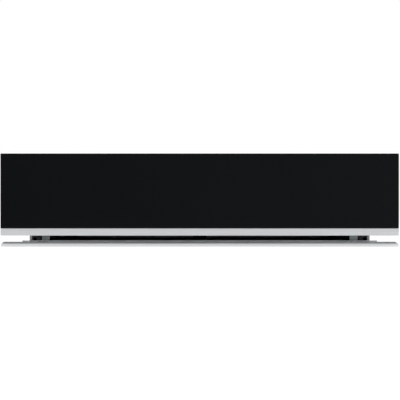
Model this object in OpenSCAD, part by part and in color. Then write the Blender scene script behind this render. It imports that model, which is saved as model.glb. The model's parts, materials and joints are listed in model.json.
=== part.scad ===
// Built-in, handle-less warming drawer for a 60 cm kitchen column, opened by a push on its front.
// X runs to the right, Y back from the front and Z up. The origin is the middle of the footprint.

/* [Overall] */
// Width of the front
front_w = 595; // [585:1:610]
// Height from the base to the top of the glass
overall_h = 139; // [136:1:160]
// Depth from the glass to the rear edge
overall_d = 550; // [545:1:580]

/* [Front] */
// Depth of the whole front panel
panel_t = 22; // [21:0.5:25]
// Thickness of the glass
glass_t = 5; // [4:0.5:6]
// Chamfer round the face of the glass
glass_chamfer = 0.6; // [0.2:0.1:1.2]
// Height of the underside of the front above the base
panel_lift = 16.4; // [15.4:0.1:17.4]
// Height of the metal strip under the glass
strip_h = 10.6; // [9:0.1:13]
// How far the steel carrier stays inside the edge of the glass
carrier_inset = 1.5; // [0.5:0.5:3]
// Width of the carrier's folded side lips
carrier_side_lip = 12; // [8:1:16]
// Width of the carrier's folded top lip
carrier_top_lip = 20; // [18:1:22]
// Free gap between the shut front and the front frame
panel_gap = 4; // [3.8:0.1:5]
// Thickness of the rubber buffer on the frame
buffer_t = 0.8; // [0.5:0.1:1]

/* [Sheet metal] */
// Thickness of the housing's sheet
sheet_t = 1.2; // [1:0.1:1.4]
// Thickness of the side panels and of the cavity ceiling
side_t = 1; // [0.8:0.1:1.2]
// Thickness of the drawer's stainless sheet
tray_t = 1; // [0.8:0.1:1.2]
// Thickness of the front frame
frame_t = 2; // [1.5:0.1:2.5]
// Thickness of the runner brackets
bracket_t = 1.5; // [1.2:0.1:2]

/* [Housing] */
// Width over the side panels
housing_w = 514; // [508:1:520]
// Width of the base pan
pan_w = 535; // [530:1:544]
// Height of the base pan's upturned front lip
pan_lip_h = 8.4; // [7.8:0.1:9.6]
// Height of the base pan's upturned side lips
pan_side_h = 5.5; // [4:0.1:6]
// How much lower the housing is than the glass
top_drop = 3; // [1:0.5:5]
// Width of the side panels' folded front edge
side_fold = 3.7; // [3:0.1:5]
// Width of each foot of the front frame
foot_w = 6.2; // [5:0.1:9]
// How far the rear panel lies inside the rear edge
rear_recess = 11; // [10:0.5:13]
// Thickness of the insulation over the cavity
insulation_t = 14.8; // [13:0.1:16]
// Height of the threshold trim
trim_h = 6.8; // [6:0.1:7.4]
// Bevel along the trim's upper edge
trim_bevel = 2.7; // [2:0.1:3.2]
// How far the trim stays inside each end of the front
trim_inset = 0.75; // [0.5:0.05:2]
// Spacing of the mounting holes, front to back
mount_spacing_y = 420; // [380:5:440]
// Radius of the mounting holes
mount_hole_r = 2.25; // [2:0.05:2.6]

/* [Drawer] */
// Height of the drawer's underside above the base
tray_z = 20; // [19.5:0.1:22]
// Gap between the drawer's rim and the cavity ceiling
rim_gap = 7; // [6:0.5:9]
// Travel of the drawer from shut to open
travel = 425; // [400:1:430]
// How far the shut front can be pushed in
push_in = 2.5; // [2:0.1:2.6]
// Gap between the drawer's back and the air guide
guide_gap = 10; // [6:1:14]
// Thickness of the anti-slip mat
mat_t = 2; // [1:0.5:3]

/* [Runners] */
// Length of the fixed and middle rails
runner_len = 450; // [445:1:455]
// Height of a runner
runner_h = 45; // [43:1:46]
// Thickness of a closed runner
runner_t = 12.7; // [12.4:0.1:13.2]
// Thickness of the runner's steel
rail_t = 1; // [0.8:0.1:1.1]
// Height of the runners above the base
runner_lift = 7; // [6:0.1:8]
// Diameter of the bearing balls
ball_d = 3.1; // [2.8:0.1:3.3]
// Thickness of the ball cages
cage_t = 0.6; // [0.4:0.1:0.7]
// Balls along each row
ball_count = 8; // [4:1:10]
// Width of the brackets that carry the runners
bracket_w = 17.3; // [16.5:0.1:18.5]

/* [Warm air] */
// Depth of the compartment behind the air guide
fan_space = 85.6; // [84:0.1:92]
// Outer radius of the fan wheel
wheel_r = 39; // [36:0.5:41]
// Width of the fan blades
wheel_w = 20; // [16:1:21]
// Number of fan blades
blade_count = 20; // [12:1:24]
// Radius of the heater ring
heater_r = 48; // [47:0.5:50]
// Diameter of the heater tube
heater_d = 6.5; // [5:0.5:7]
// Radius of the motor's shaft
shaft_r = 2.5; // [2:0.1:3]
// Radius of the motor's rotor
rotor_r = 13.3; // [12:0.1:13.8]
// Thickness of the motor's iron
stator_t = 18; // [14:1:20]

/* [Controls] */
// Radius of the temperature knob
knob_r = 10; // [8:0.5:11]
// Height of the temperature knob
knob_h = 10; // [8:0.5:11]
// Radius of the power button
button_r = 4.6; // [4:0.1:5]
// Travel of the power button
button_travel = 1.5; // [1:0.1:2]
// Radius of the pilot lamp
lamp_r = 3; // [2.5:0.1:3.4]

/* [Latch] */
// Radius of the latch plunger
plunger_r = 4; // [3.5:0.1:4.2]
// Travel of the latch plunger
plunger_travel = 6; // [4:0.5:8]
// Turns of the latch spring
spring_turns = 8; // [6:1:10]

/* [Fixings] */
// Radius of a screw's thread
screw_r = 1.75; // [1.5:0.05:2]
// Radius of a screw's head
screw_head_r = 3.4; // [3:0.1:3.6]
// Height of a screw's head
screw_head_h = 1.8; // [1.4:0.1:2.2]
// Radial clearance of a screw or rivet in its hole
screw_clear = 0.15; // [0.05:0.05:0.3]
// Radius of the cable's way through the gland
cable_r = 4.25; // [3.5:0.05:4.5]

/* [Hidden] */
$fn = 64;

cut = 1;                                 // how far a cut runs past the face that it opens
sides = [-1, 1];

// Planes from front to back
front_y = -overall_d / 2;
rear_y = overall_d / 2;
panel_y = front_y + panel_t;             // rear face of the front panel, front face of the base pan
glass_back_y = front_y + glass_t;
frame_y = panel_y + panel_gap;           // front face of the front frame
frame_back_y = frame_y + frame_t;
rear_panel_y = rear_y - rear_recess;     // outer face of the rear panel
rear_inner_y = rear_panel_y - sheet_t;
guide_back_y = rear_inner_y - fan_space;
guide_y = guide_back_y - sheet_t;        // face of the air guide that the drawer looks at
tray_back_y = guide_y - guide_gap;

// Levels from the base up
strip_top_z = panel_lift + strip_h;
housing_z = overall_h - top_drop;        // top of the top cover
cover_z = housing_z - sheet_t;
ceiling_z = cover_z - insulation_t;      // top of the cavity's ceiling sheet
ceiling_low_z = ceiling_z - side_t;
rim_z = ceiling_low_z - rim_gap;
rail_gap = 4;                            // drawer's rim to the frame's top rail
rail_z = rim_z + rail_gap;
floor_z = tray_z + tray_t;               // cooking surface of the drawer

// Half widths from the outside in
front_hw = front_w / 2;
housing_hw = housing_w / 2;
wall_hw = housing_hw - side_t;           // inner face of the side panels
runner_hw = wall_hw - bracket_w;         // outer face of the runners
tray_hw = runner_hw - runner_t;          // outer face of the drawer
cavity_hw = tray_hw - 4;                 // outer face of the air guide

// Runner section, in its own u (outwards from the drawer) and v (up from its middle)
runner_y = frame_y + 1;
runner_z = runner_lift + runner_h / 2;
ball_gap = 0.3;                          // clearance of a ball from each race
web_gap = 0.35;                          // clearance of a cage from each web
race = ball_d + 2 * ball_gap;
fixed_v = runner_h / 2;
middle_v = fixed_v - rail_t - race;
inner_v = middle_v - rail_t - race;
outer_cage_v = fixed_v - rail_t - race / 2;
inner_cage_v = middle_v - rail_t - race / 2;
outer_cage_u = runner_t - rail_t - web_gap;
middle_u = outer_cage_u - cage_t - web_gap;
inner_cage_u = middle_u - rail_t - web_gap;
inner_u = inner_cage_u - cage_t - web_gap;
fixed_lip_u = 1.5;
middle_lip_u = rail_t + 1.2;
cage_lip_u = 3;
fixed_lip_h = rail_t + 1.2;
tab_t = 1.5;
tab_z = pan_lip_h + 0.4;
tab_top_z = runner_lift + runner_h - 3;
tab_edge = 0.5;
cage_margin = 3;
cage_y = runner_y + travel / 4 + cage_margin;
cage_len = runner_len - travel / 2 - 3 * cage_margin - panel_gap;
ball_pitch = cage_len / ball_count;
rivet_r = 2;
rivet_hole_r = rivet_r + screw_clear;
screw_hole_r = screw_r + screw_clear;
rivet_head_r = 3.2;
rivet_head_h = 1;
fixed_rivet_ys = [for (f = [0.12, 0.5, 0.88]) runner_y + f * runner_len];
tray_rivet_ys = [for (f = [0.2, 0.55, 0.9]) panel_y + f * (tray_back_y - panel_y)];

// Runner brackets
bracket_setback = 30;                    // leaves room for the wiring behind the controls
bracket_hh = 17;
bracket_lip = 8;
bracket_y = runner_y + bracket_setback;
bracket_end = 8;
bracket_back_y = runner_y + runner_len - bracket_end;
bracket_top_z = runner_z + bracket_hh + bracket_lip;

// Front frame and controls
step_z = runner_lift + runner_h + 3;     // below this the frame stands outside the runners
frame_clear = 2;                         // drawer to the frame's opening
frame_in_hw = tray_hw + frame_clear;
frame_hw = housing_hw - side_fold;
foot_hw = runner_hw + 1.5;
control_x = (frame_in_hw + housing_hw) / 2;
knob_z = rail_z - 12;
button_z = knob_z - 24;
lamp_z = button_z - 15;
knob_gap = 0.4;
spindle_r = 3;
pivot_clear = 0.08;                      // radial clearance of a turning or sliding fit
control_depth = 15;
control_hw = 10;
spindle_len = 10;                        // how far the spindle reaches into its control
end_gap = 0.5;                           // left at the end of a spindle or a pressed button
pointer_w = 1.2;
pointer_depth = 0.8;
pointer_r = 0.4 * knob_r;
switch_hw = 7.5;
button_proud = 2.8;
button_skirt = 1;
button_skirt_t = 1.5;
button_stem = 4;
button_stem_r = button_r - 1.6;
skirt_y = frame_back_y + knob_gap;
lamp_proud = 1;
lamp_len = 10;
lamp_collar = 1.5;
lamp_collar_t = 2;

// Warm-air unit
air_z = (sheet_t + ceiling_low_z) / 2;    // middle of the compartment's height
wheel_front_gap = 8;
wheel_back_gap = 5;
wheel_y = guide_back_y + wheel_front_gap; // front ring of the fan wheel
ring_t = 1.5;
ring_w = 5;
blade_len = 9;
blade_t = 0.8;
blade_deg = 35;
blade_r = wheel_r - ring_w + 0.5;
hub_r = 7;
hub_len = 8;
wheel_back_y = wheel_y + wheel_w;
hub_y = wheel_back_y - hub_len;
baffle_y = wheel_back_y + wheel_back_gap;
baffle_back_y = baffle_y + sheet_t;
post_len = 11.5;                         // baffle to the motor's iron
stator_y = baffle_back_y + post_len;
stator_back_y = stator_y + stator_t;
air_gap = 0.5;
bore_r = rotor_r + air_gap;
stator_hw = 28;
limb_h = 10;
window_h = 14;
stator_wall = 5;                         // iron between the bore and the coil's window
stator_top = bore_r + stator_wall + 3;
window_top = -bore_r - stator_wall;
limb_top = window_top - window_h;
stator_low = limb_top - limb_h;
window_hw = 17;
coil_side = 7;
coil_gap = 0.3;
bridge_hh = 8;
bridge_t = 2;
bridge_gap = 4.5;                        // motor's iron to each bridge
bridge_y = stator_y - bridge_gap - bridge_t;
bridge_back_y = stator_back_y + bridge_gap;
post_x = 21;
post_r = 4;
bush_r = 5;
bush_len = 6;
bush_clear = 0.03;
press_clear = 0.02;
shaft_end = 5;
rotor_end = 1;
heater_y = (wheel_y + wheel_back_y) / 2;
heater_bend = 8;
heater_gap_deg = 22;
heater_leg_end = 6;                      // how far the tube runs past the baffle
terminal_r = 1.2;
terminal_len = 10;
heater_plate_t = 1.5;
heater_plate_edge = 8;
cutout_x = -80;
cutout_z = air_z + 20;
cutout_r = 8;
cutout_h = 7;
tag_len = 8;
tag_w = 4;
tag_t = 0.8;

// Latch on the base pan
latch_z = 11.2;
latch_hw = 11;
latch_top_z = latch_z + plunger_r + 2;
striker_y = 40;
striker_t = 1.5;
striker_hw = 10;
striker_z = pan_lip_h + 1.2;
latch_clear = 0.4;
plunger_y = striker_y + striker_t + push_in + latch_clear;
plunger_end = 2;                         // left in front of the latch when the plunger is in
latch_y = plunger_y + plunger_travel + plunger_end;
plunger_head = 26;
stem_r = 1.6;
stem_len = 22;
spring_wire_r = 0.4;
spring_end_gap = 0.3;
spring_y = plunger_y + plunger_head + spring_end_gap;
spring_len = stem_len + 2 * plunger_travel;
bore_back_y = spring_y + spring_len + spring_end_gap;
latch_wall = 4;
latch_back_y = bore_back_y + latch_wall;

// Wiring, gland and terminal block
wire_r = 2.5;
wire_bend = 6;
wire_x = control_x + 4.5;
wire_top_z = knob_z - 4;
wire_y = frame_back_y + control_depth;   // leaves the rear face of the temperature control
wire_end_y = guide_back_y + 56;
wire_hole_clear = 1;
block_w = 20;
block_hd = 12;
block_hh = 10;
pole_x = 14;
pole_pitch = 7;
pole_r = 2.2;
pole_depth = 4;
gland_inset = 32;                        // gland to the air guide's side
gland_x = cavity_hw - gland_inset;
gland_z = runner_z;
gland_r = 8;
gland_cap_r = 10;
gland_nut_r = 11;
gland_nut_t = 4;
gland_stub = 4;
gland_proud = rear_recess - 0.5;

// Vents: slots in the base pan, the rear panel, the air guide and the drawer's back
slot_w = 4;
pan_slot_len = 14;
pan_slot_pitch = 22;
pan_slot_rows = 24;
pan_slot_y = guide_back_y + 46;
rear_slot_len = 36;
rear_slot_pitch = 14;
air_slot_len = 16;
air_slot_w = 5;
air_slot_pitch = 17;
air_slot_rows = 22;
air_slot_x = 78;
grille_r = 30;
grille_pitch = 7;

// Flanges and insulation
foot_flange = 10;
screw_edge = 6;
cover_flange_h = 14;
insulation_edge = 12;
insulation_gap = 1.5;
control_room = 32;
buffer_hh = 4;

// ---------- helpers ----------
module block(a, b) translate(a) cube(b - a);

// A rod along Y from y0 to y1
module y_rod(r, x, z, y0, y1) translate([x, y0, z]) rotate([-90, 0, 0]) cylinder(r = r, h = y1 - y0);

// A rod along X from x0 to x1
module x_rod(r, x0, x1, y, z) translate([x0, y, z]) rotate([0, 90, 0]) cylinder(r = r, h = x1 - x0);

// Children drawn in (y, z), carried along X between x0 and x1
module along_x(x0, x1) translate([x0, 0, 0]) rotate([90, 0, 90]) linear_extrude(x1 - x0) children();

// Children drawn in (x, z), carried along Y between y0 and y1
module along_y(y0, y1) translate([0, y1, 0]) rotate([90, 0, 0]) linear_extrude(y1 - y0) children();

// What is built on the right, put on the left for side = -1
module on_side(side) mirror([side < 0 ? 1 : 0, 0, 0]) children();

module slot_2d(len, w) {
  square([len - w, w], center = true);
  for (s = sides) translate([s * (len - w) / 2, 0]) circle(d = w);
}

// A pan-head screw: its head's seat is at z = 0 and its shank runs down
module screw(len) {
  cylinder(r = screw_head_r, h = screw_head_h);
  translate([0, 0, -len]) cylinder(r = screw_r, h = len + screw_head_h / 2);
}

// ---------- base, trim and housing ----------
module base_pan() color("silver") difference() {
  union() {
    block([-pan_w / 2, panel_y, 0], [pan_w / 2, rear_y, pan_side_h]);
    block([-pan_w / 2, panel_y, 0], [pan_w / 2, panel_y + sheet_t, pan_lip_h]);
  }
  block([-pan_w / 2 + sheet_t, panel_y + sheet_t, sheet_t],
    [pan_w / 2 - sheet_t, rear_y + cut, pan_lip_h + cut]);
  for (s = sides, t = sides)
    translate([s * (housing_hw + pan_w / 2 - sheet_t) / 2, t * mount_spacing_y / 2, -cut])
      cylinder(r = mount_hole_r, h = sheet_t + 2 * cut);
  for (i = [-5:5], row = [0, 1])
    translate([i * pan_slot_pitch, pan_slot_y + row * pan_slot_rows, -cut])
      linear_extrude(sheet_t + 2 * cut) rotate(90) slot_2d(pan_slot_len, slot_w);
  for (x = trim_screw_xs) y_rod(screw_hole_r, x, trim_h / 2, panel_y - cut, panel_y + sheet_t + cut);
}

trim_screw_xs = [for (f = [-0.8, -0.3, 0.3, 0.8]) f * pan_w / 2];

// The threshold's outline with all its faces drawn in by t
module trim_block(t) {
  hw = front_hw - trim_inset - t;
  bevel = trim_bevel - t * (2 - sqrt(2));
  top = trim_h - t;
  intersection() {
    along_x(-hw, hw) polygon([[front_y + t, -t], [panel_y + t, -t], [panel_y + t, top],
      [front_y + t + bevel, top], [front_y + t, top - bevel]]);
    along_y(front_y, panel_y + t) polygon([[-hw, -t], [hw, -t], [hw, top - bevel], [hw - bevel, top],
      [bevel - hw, top], [-hw, top - bevel]]);
  }
}

module trim_plate() color("gainsboro") difference() {
  intersection() {
    trim_block(0);
    block([-front_w, front_y, 0], [front_w, panel_y, trim_h]);
  }
  difference() {
    trim_block(sheet_t);
    block([-pan_w / 2, panel_y - sheet_t, 0], [pan_w / 2, panel_y + 2 * sheet_t, trim_h]);
  }
  for (x = trim_screw_xs) y_rod(screw_hole_r, x, trim_h / 2, panel_y - 2 * sheet_t, panel_y + cut);
}

// Side screws: the height and place of each, for the cover and for the rear panel
cover_screw_z = housing_z - sheet_t - screw_edge;
cover_screw_ys = [for (f = [0.1, 0.5, 0.9]) frame_y + f * (rear_y - frame_y)];
rear_screw_y = rear_inner_y - screw_edge;
rear_screw_zs = [for (f = [0.25, 0.75]) f * cover_z];
screw_len = 8;
hole_len = 3 * sheet_t;

module side_screw_holes(side) {
  for (y = cover_screw_ys)
    x_rod(screw_hole_r, side * housing_hw - hole_len, side * housing_hw + hole_len, y, cover_screw_z);
  for (z = rear_screw_zs)
    x_rod(screw_hole_r, side * housing_hw - hole_len, side * housing_hw + hole_len, rear_screw_y, z);
}

module side_panel(side) color("silver") difference() {
  on_side(side) {
    block([wall_hw, frame_y, sheet_t], [housing_hw, rear_y, cover_z]);
    block([housing_hw - side_fold, frame_y, sheet_t], [housing_hw, frame_y + side_t, cover_z]);
    block([wall_hw - foot_flange, frame_back_y, sheet_t],
      [wall_hw + side_t / 2, rear_panel_y - 2 * sheet_t, sheet_t + side_t]);
  }
  side_screw_holes(side);
}

module top_cover() color("silver") difference() {
  union() {
    block([-housing_hw - sheet_t, frame_y, cover_z], [housing_hw + sheet_t, rear_y, housing_z]);
    for (s = sides) on_side(s)
      block([housing_hw, frame_y, housing_z - cover_flange_h], [housing_hw + sheet_t, rear_y, housing_z]);
  }
  for (s = sides) side_screw_holes(s);
}

module rear_panel() color("silver") difference() {
  union() {
    block([-wall_hw, rear_inner_y, sheet_t], [wall_hw, rear_panel_y, cover_z]);
    for (s = sides) on_side(s)
      block([wall_hw - sheet_t, rear_screw_y - screw_edge, sheet_t + side_t],
        [wall_hw, rear_panel_y, cover_z]);
  }
  for (s = sides) side_screw_holes(s);
  y_rod(gland_r + screw_clear, gland_x, gland_z, rear_inner_y - cut, rear_panel_y + cut);
  for (i = [-6:6]) along_y(rear_inner_y - cut, rear_panel_y + cut)
    translate([i * rear_slot_pitch, air_z]) rotate(90) slot_2d(rear_slot_len, slot_w);
}

module front_frame() color("dimgray") difference() {
  along_y(frame_y, frame_back_y) difference() {
    translate([-frame_hw, sheet_t]) square([2 * frame_hw, cover_z - sheet_t]);
    translate([-frame_in_hw, 0]) square([2 * frame_in_hw, rail_z]);
    translate([-foot_hw, 0]) square([2 * foot_hw, step_z]);
    for (s = sides) on_side(s) translate([foot_hw + foot_w, 0]) square([housing_hw, step_z]);
  }
  y_rod(spindle_r + knob_gap, control_x, knob_z, frame_y - cut, frame_back_y + cut);
  y_rod(button_r + knob_gap, control_x, button_z, frame_y - cut, frame_back_y + cut);
  y_rod(lamp_r + pivot_clear, control_x, lamp_z, frame_y - cut, frame_back_y + cut);
}

module cavity_ceiling() color("silver")
  block([-wall_hw + sheet_t, frame_back_y, ceiling_low_z], [wall_hw - sheet_t, rear_inner_y, ceiling_z]);

module top_insulation() color("khaki")
  block([insulation_edge - wall_hw, frame_back_y, ceiling_z],
    [wall_hw - insulation_edge, rear_inner_y, cover_z]);

module side_insulation() color("khaki") for (s = sides) on_side(s)
  block([runner_hw + insulation_gap, frame_back_y + control_room, bracket_top_z + insulation_gap],
    [wall_hw, guide_y, ceiling_low_z]);

buffer_z = (rail_z + cover_z) / 2;

module front_buffer() color("dimgray")
  block([-frame_in_hw, frame_y - buffer_t, buffer_z - buffer_hh],
    [frame_in_hw, frame_y, buffer_z + buffer_hh]);

// ---------- warm air ----------
// Air slots that the guide and the drawer's back share
module air_slots(y0, y1) for (s = sides, i = [0:7], row = [-1, 0, 1]) along_y(y0, y1)
  translate([s * (air_slot_x + i * air_slot_pitch), air_z + row * air_slot_rows])
    rotate(90) slot_2d(air_slot_len, air_slot_w);

// Upright slots that end on a circle in front of the fan
module intake_grille(y0, y1) for (i = [-4:4]) along_y(y0, y1)
  translate([i * grille_pitch, air_z])
    rotate(90) slot_2d(2 * sqrt(pow(grille_r, 2) - pow(i * grille_pitch, 2)), slot_w);

module air_guide() color("silver") difference() {
  union() {
    block([-cavity_hw, guide_y, sheet_t], [cavity_hw, guide_back_y, ceiling_low_z]);
    for (s = sides) on_side(s)
      block([cavity_hw - sheet_t, guide_y, sheet_t], [cavity_hw, rear_inner_y, ceiling_low_z]);
  }
  air_slots(guide_y - cut, guide_back_y + cut);
  intake_grille(guide_y - cut, guide_back_y + cut);
  x_rod(wire_r + wire_hole_clear, cavity_hw - 2 * sheet_t, cavity_hw + cut, wire_end_y, runner_z);
}

heater_plate_y = baffle_y - heater_plate_t;
heater_leg_len = baffle_back_y - heater_y - heater_bend + heater_leg_end;
heater_leg_z = heater_r * sin(heater_gap_deg) - heater_bend * cos(heater_gap_deg);
heater_leg_x = -heater_r * cos(heater_gap_deg) - heater_bend * sin(heater_gap_deg);

module fan_baffle() color("silver") difference() {
  block([sheet_t - cavity_hw, baffle_y, sheet_t], [cavity_hw - sheet_t, baffle_back_y, ceiling_low_z]);
  y_rod(hub_r + 2, 0, air_z, baffle_y - cut, baffle_back_y + cut);
  for (s = sides) {
    y_rod(heater_d / 2 + end_gap, heater_leg_x, air_z + s * heater_leg_z,
      baffle_y - cut, baffle_back_y + cut);
    y_rod(screw_hole_r, s * post_x, air_z, baffle_y - cut, baffle_back_y + cut);
  }
}

// One end of the heater ring, bent back through the baffle to its terminal
module heater_end() rotate([0, 0, heater_gap_deg]) translate([heater_r, 0, 0]) mirror([0, 1, 0]) {
  translate([0, 0, heater_bend]) rotate([0, 90, 0]) rotate_extrude(angle = 90) translate([heater_bend, 0])
    circle(d = heater_d);
  translate([0, heater_bend, heater_bend]) {
    cylinder(d = heater_d, h = heater_leg_len);
    cylinder(r = terminal_r, h = heater_leg_len + terminal_len);
  }
}

module ring_heater() color("dimgray") {
  translate([0, heater_y, air_z]) rotate([-90, 0, 0]) rotate([0, 0, 180]) {
    rotate([0, 0, heater_gap_deg]) rotate_extrude(angle = 360 - 2 * heater_gap_deg) translate([heater_r, 0])
      circle(d = heater_d);
    for (s = [0, 1]) mirror([0, s, 0]) heater_end();
  }
  difference() {
    block([heater_leg_x - heater_plate_edge, heater_plate_y, air_z - heater_leg_z - heater_plate_edge],
      [heater_leg_x + heater_plate_edge, baffle_y, air_z + heater_leg_z + heater_plate_edge]);
    for (s = sides)
      y_rod(heater_d / 2 - end_gap, heater_leg_x, air_z + s * heater_leg_z,
        heater_plate_y - cut, baffle_y + cut);
  }
}

module fan_wheel() color("gainsboro") translate([0, 0, air_z]) difference() {
  union() {
    y_rod(wheel_r, 0, 0, wheel_back_y - ring_t, wheel_back_y);
    difference() {
      y_rod(wheel_r, 0, 0, wheel_y, wheel_y + ring_t);
      y_rod(wheel_r - ring_w, 0, 0, wheel_y - cut, wheel_y + ring_t + cut);
    }
    y_rod(hub_r, 0, 0, hub_y, wheel_back_y);
    along_y(wheel_y + ring_t / 2, wheel_back_y - ring_t / 2) for (i = [0:blade_count - 1])
      rotate(i * 360 / blade_count) translate([blade_r, 0]) rotate(blade_deg)
        square([blade_len, blade_t], center = true);
  }
  y_rod(shaft_r + press_clear, 0, 0, hub_y - cut, wheel_back_y + cut);
}

module motor_shaft() color("silver")
  y_rod(shaft_r, 0, air_z, hub_y - shaft_end / 2, bridge_back_y + bridge_t + shaft_end);

module motor_rotor() color("gray") difference() {
  y_rod(rotor_r, 0, air_z, stator_y - rotor_end, stator_back_y + rotor_end);
  y_rod(shaft_r + press_clear, 0, air_z, stator_y - rotor_end - cut, stator_back_y + rotor_end + cut);
}

module motor_stator() color("gray") difference() {
  along_y(stator_y, stator_back_y) translate([0, air_z]) difference() {
    translate([-stator_hw, stator_low]) square([2 * stator_hw, stator_top - stator_low]);
    circle(r = bore_r);
    translate([-window_hw, limb_top]) square([2 * window_hw, window_h]);
    for (s = sides) translate([s * post_x, 0]) circle(r = screw_hole_r);
  }
}

module motor_coil() color("peru") difference() {
  block([coil_gap - window_hw, stator_y - coil_side, air_z + stator_low - coil_side],
    [window_hw - coil_gap, stator_back_y + coil_side, air_z + window_top - coil_gap]);
  block([-window_hw - cut, stator_y, air_z + stator_low], [window_hw + cut, stator_back_y, air_z + limb_top]);
}

// Bridge plate on two tubular posts, with a hole for its bush
module motor_bridge(y, post_y0, post_y1) difference() {
  union() {
    block([-stator_hw, y, air_z - bridge_hh], [stator_hw, y + bridge_t, air_z + bridge_hh]);
    for (s = sides) y_rod(post_r, s * post_x, air_z, post_y0, post_y1);
  }
  y_rod(bush_r + press_clear, 0, air_z, y - cut, y + bridge_t + cut);
  for (s = sides) y_rod(screw_hole_r, s * post_x, air_z, post_y0 - bridge_gap, post_y1 + bridge_gap);
}

module motor_brackets() color("silver") {
  motor_bridge(bridge_y, baffle_back_y, stator_y);
  motor_bridge(bridge_back_y, stator_back_y, bridge_back_y + bridge_t / 2);
}

module motor_bearings() color("darkgoldenrod") for (y = [bridge_y, bridge_back_y]) difference() {
  y_rod(bush_r, 0, air_z, y + bridge_t / 2 - bush_len / 2, y + bridge_t / 2 + bush_len / 2);
  y_rod(shaft_r + bush_clear, 0, air_z, y - bush_len, y + bush_len);
}

module motor_screws() color("silver") for (s = sides) translate([s * post_x, bridge_back_y + bridge_t, air_z])
  rotate([-90, 0, 0]) screw(bridge_back_y + 2 * bridge_t - baffle_y);

module overheat_cutout() color("ivory") {
  y_rod(cutout_r, cutout_x, cutout_z, baffle_back_y, baffle_back_y + cutout_h);
  for (s = sides)
    block([cutout_x - tag_t / 2, baffle_back_y + cutout_h - tag_t, cutout_z + s * tag_w - tag_w / 2],
      [cutout_x + tag_t / 2, baffle_back_y + cutout_h + tag_len, cutout_z + s * tag_w + tag_w / 2]);
}

// ---------- controls ----------
module temperature_control() color("ivory") difference() {
  block([control_x - control_hw, frame_back_y, knob_z - control_hw],
    [control_x + control_hw, frame_back_y + control_depth, knob_z + control_hw]);
  y_rod(spindle_r + pivot_clear, control_x, knob_z, frame_back_y - cut, frame_back_y + spindle_len + end_gap);
}

knob_y = frame_y - knob_gap - knob_h;

module temperature_knob() color("dimgray") difference() {
  union() {
    y_rod(knob_r, control_x, knob_z, knob_y, frame_y - knob_gap);
    y_rod(spindle_r, control_x, knob_z, frame_y - 2 * knob_gap, frame_back_y + spindle_len);
  }
  block([control_x - pointer_w / 2, knob_y - cut, knob_z + pointer_r],
    [control_x + pointer_w / 2, knob_y + pointer_depth, knob_z + knob_r + cut]);
}

module power_button() color("whitesmoke") {
  y_rod(button_r, control_x, button_z, frame_y - button_proud, skirt_y + button_skirt_t / 2);
  y_rod(button_r + button_skirt, control_x, button_z, skirt_y, skirt_y + button_skirt_t);
  y_rod(button_stem_r, control_x, button_z, skirt_y, skirt_y + button_skirt_t + button_stem);
}

module switch_body() color("ivory") difference() {
  block([control_x - switch_hw, frame_back_y, button_z - switch_hw],
    [control_x + switch_hw, frame_back_y + control_depth, button_z + switch_hw]);
  y_rod(button_r + button_skirt + knob_gap, control_x, button_z, frame_back_y - cut,
    skirt_y + button_skirt_t + button_stem + button_travel + end_gap);
}

module pilot_lamp() color("orange") {
  y_rod(lamp_r, control_x, lamp_z, frame_y - lamp_proud, frame_back_y + lamp_len);
  y_rod(lamp_r + lamp_collar, control_x, lamp_z, frame_back_y, frame_back_y + lamp_collar_t);
}

module wire_bend_piece() rotate_extrude(angle = 90) translate([wire_bend, 0]) circle(r = wire_r);

module wiring_harness() color("dimgray") {
  // out of the control, and down
  translate([wire_x, wire_y, wire_top_z - wire_bend]) rotate([90, 0, 90]) wire_bend_piece();
  translate([wire_x, wire_y + wire_bend, runner_z + wire_bend])
    cylinder(r = wire_r, h = wire_top_z - runner_z - 2 * wire_bend);
  // on to the back through the bracket
  translate([wire_x, wire_y + 2 * wire_bend, runner_z + wire_bend]) rotate([0, 90, 0]) rotate([0, 0, 180])
    mirror([1, 0, 0]) wire_bend_piece();
  y_rod(wire_r, wire_x, runner_z, wire_y + 2 * wire_bend, wire_end_y - wire_bend);
  // and in to the terminal block
  translate([wire_x - wire_bend, wire_end_y - wire_bend, runner_z]) wire_bend_piece();
  x_rod(wire_r, cavity_hw - sheet_t, wire_x - wire_bend, wire_end_y, runner_z);
}

module terminal_block() color("ivory") difference() {
  block([cavity_hw - sheet_t - block_w, wire_end_y - block_hd, runner_z - block_hh],
    [cavity_hw - sheet_t, wire_end_y + block_hd, runner_z + block_hh]);
  for (i = [-1, 0, 1])
    translate([cavity_hw - sheet_t - pole_x, wire_end_y + i * pole_pitch, runner_z + block_hh - pole_depth])
      cylinder(r = pole_r, h = pole_depth + cut);
}

module cable_gland() color("dimgray") difference() {
  union() {
    y_rod(gland_r, gland_x, gland_z, rear_inner_y - gland_nut_t - gland_stub, rear_panel_y + gland_proud / 2);
    y_rod(gland_cap_r, gland_x, gland_z, rear_panel_y, rear_panel_y + gland_proud);
    translate([gland_x, rear_inner_y - gland_nut_t, gland_z]) rotate([-90, 0, 0])
      cylinder(r = gland_nut_r, h = gland_nut_t, $fn = 6);
  }
  y_rod(cable_r, gland_x, gland_z, rear_inner_y - gland_nut_t - gland_stub - cut, rear_y + cut);
}

// ---------- fixings of the housing ----------
module housing_screws() color("silver") {
  for (s = sides) on_side(s) {
    for (y = cover_screw_ys)
      translate([housing_hw + sheet_t, y, cover_screw_z]) rotate([0, 90, 0]) screw(screw_len);
    for (z = rear_screw_zs)
      translate([housing_hw, rear_screw_y, z]) rotate([0, 90, 0]) screw(screw_len);
  }
  for (x = trim_screw_xs) translate([x, panel_y + sheet_t, trim_h / 2]) rotate([-90, 0, 0]) trim_screw();
}

// The trim's screws have a lower head, which clears the pan's floor
module trim_screw() {
  cylinder(r = trim_h / 2 - sheet_t - screw_clear, h = screw_head_h);
  translate([0, 0, -screw_len]) cylinder(r = screw_r, h = screw_len + screw_head_h / 2);
}

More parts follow.
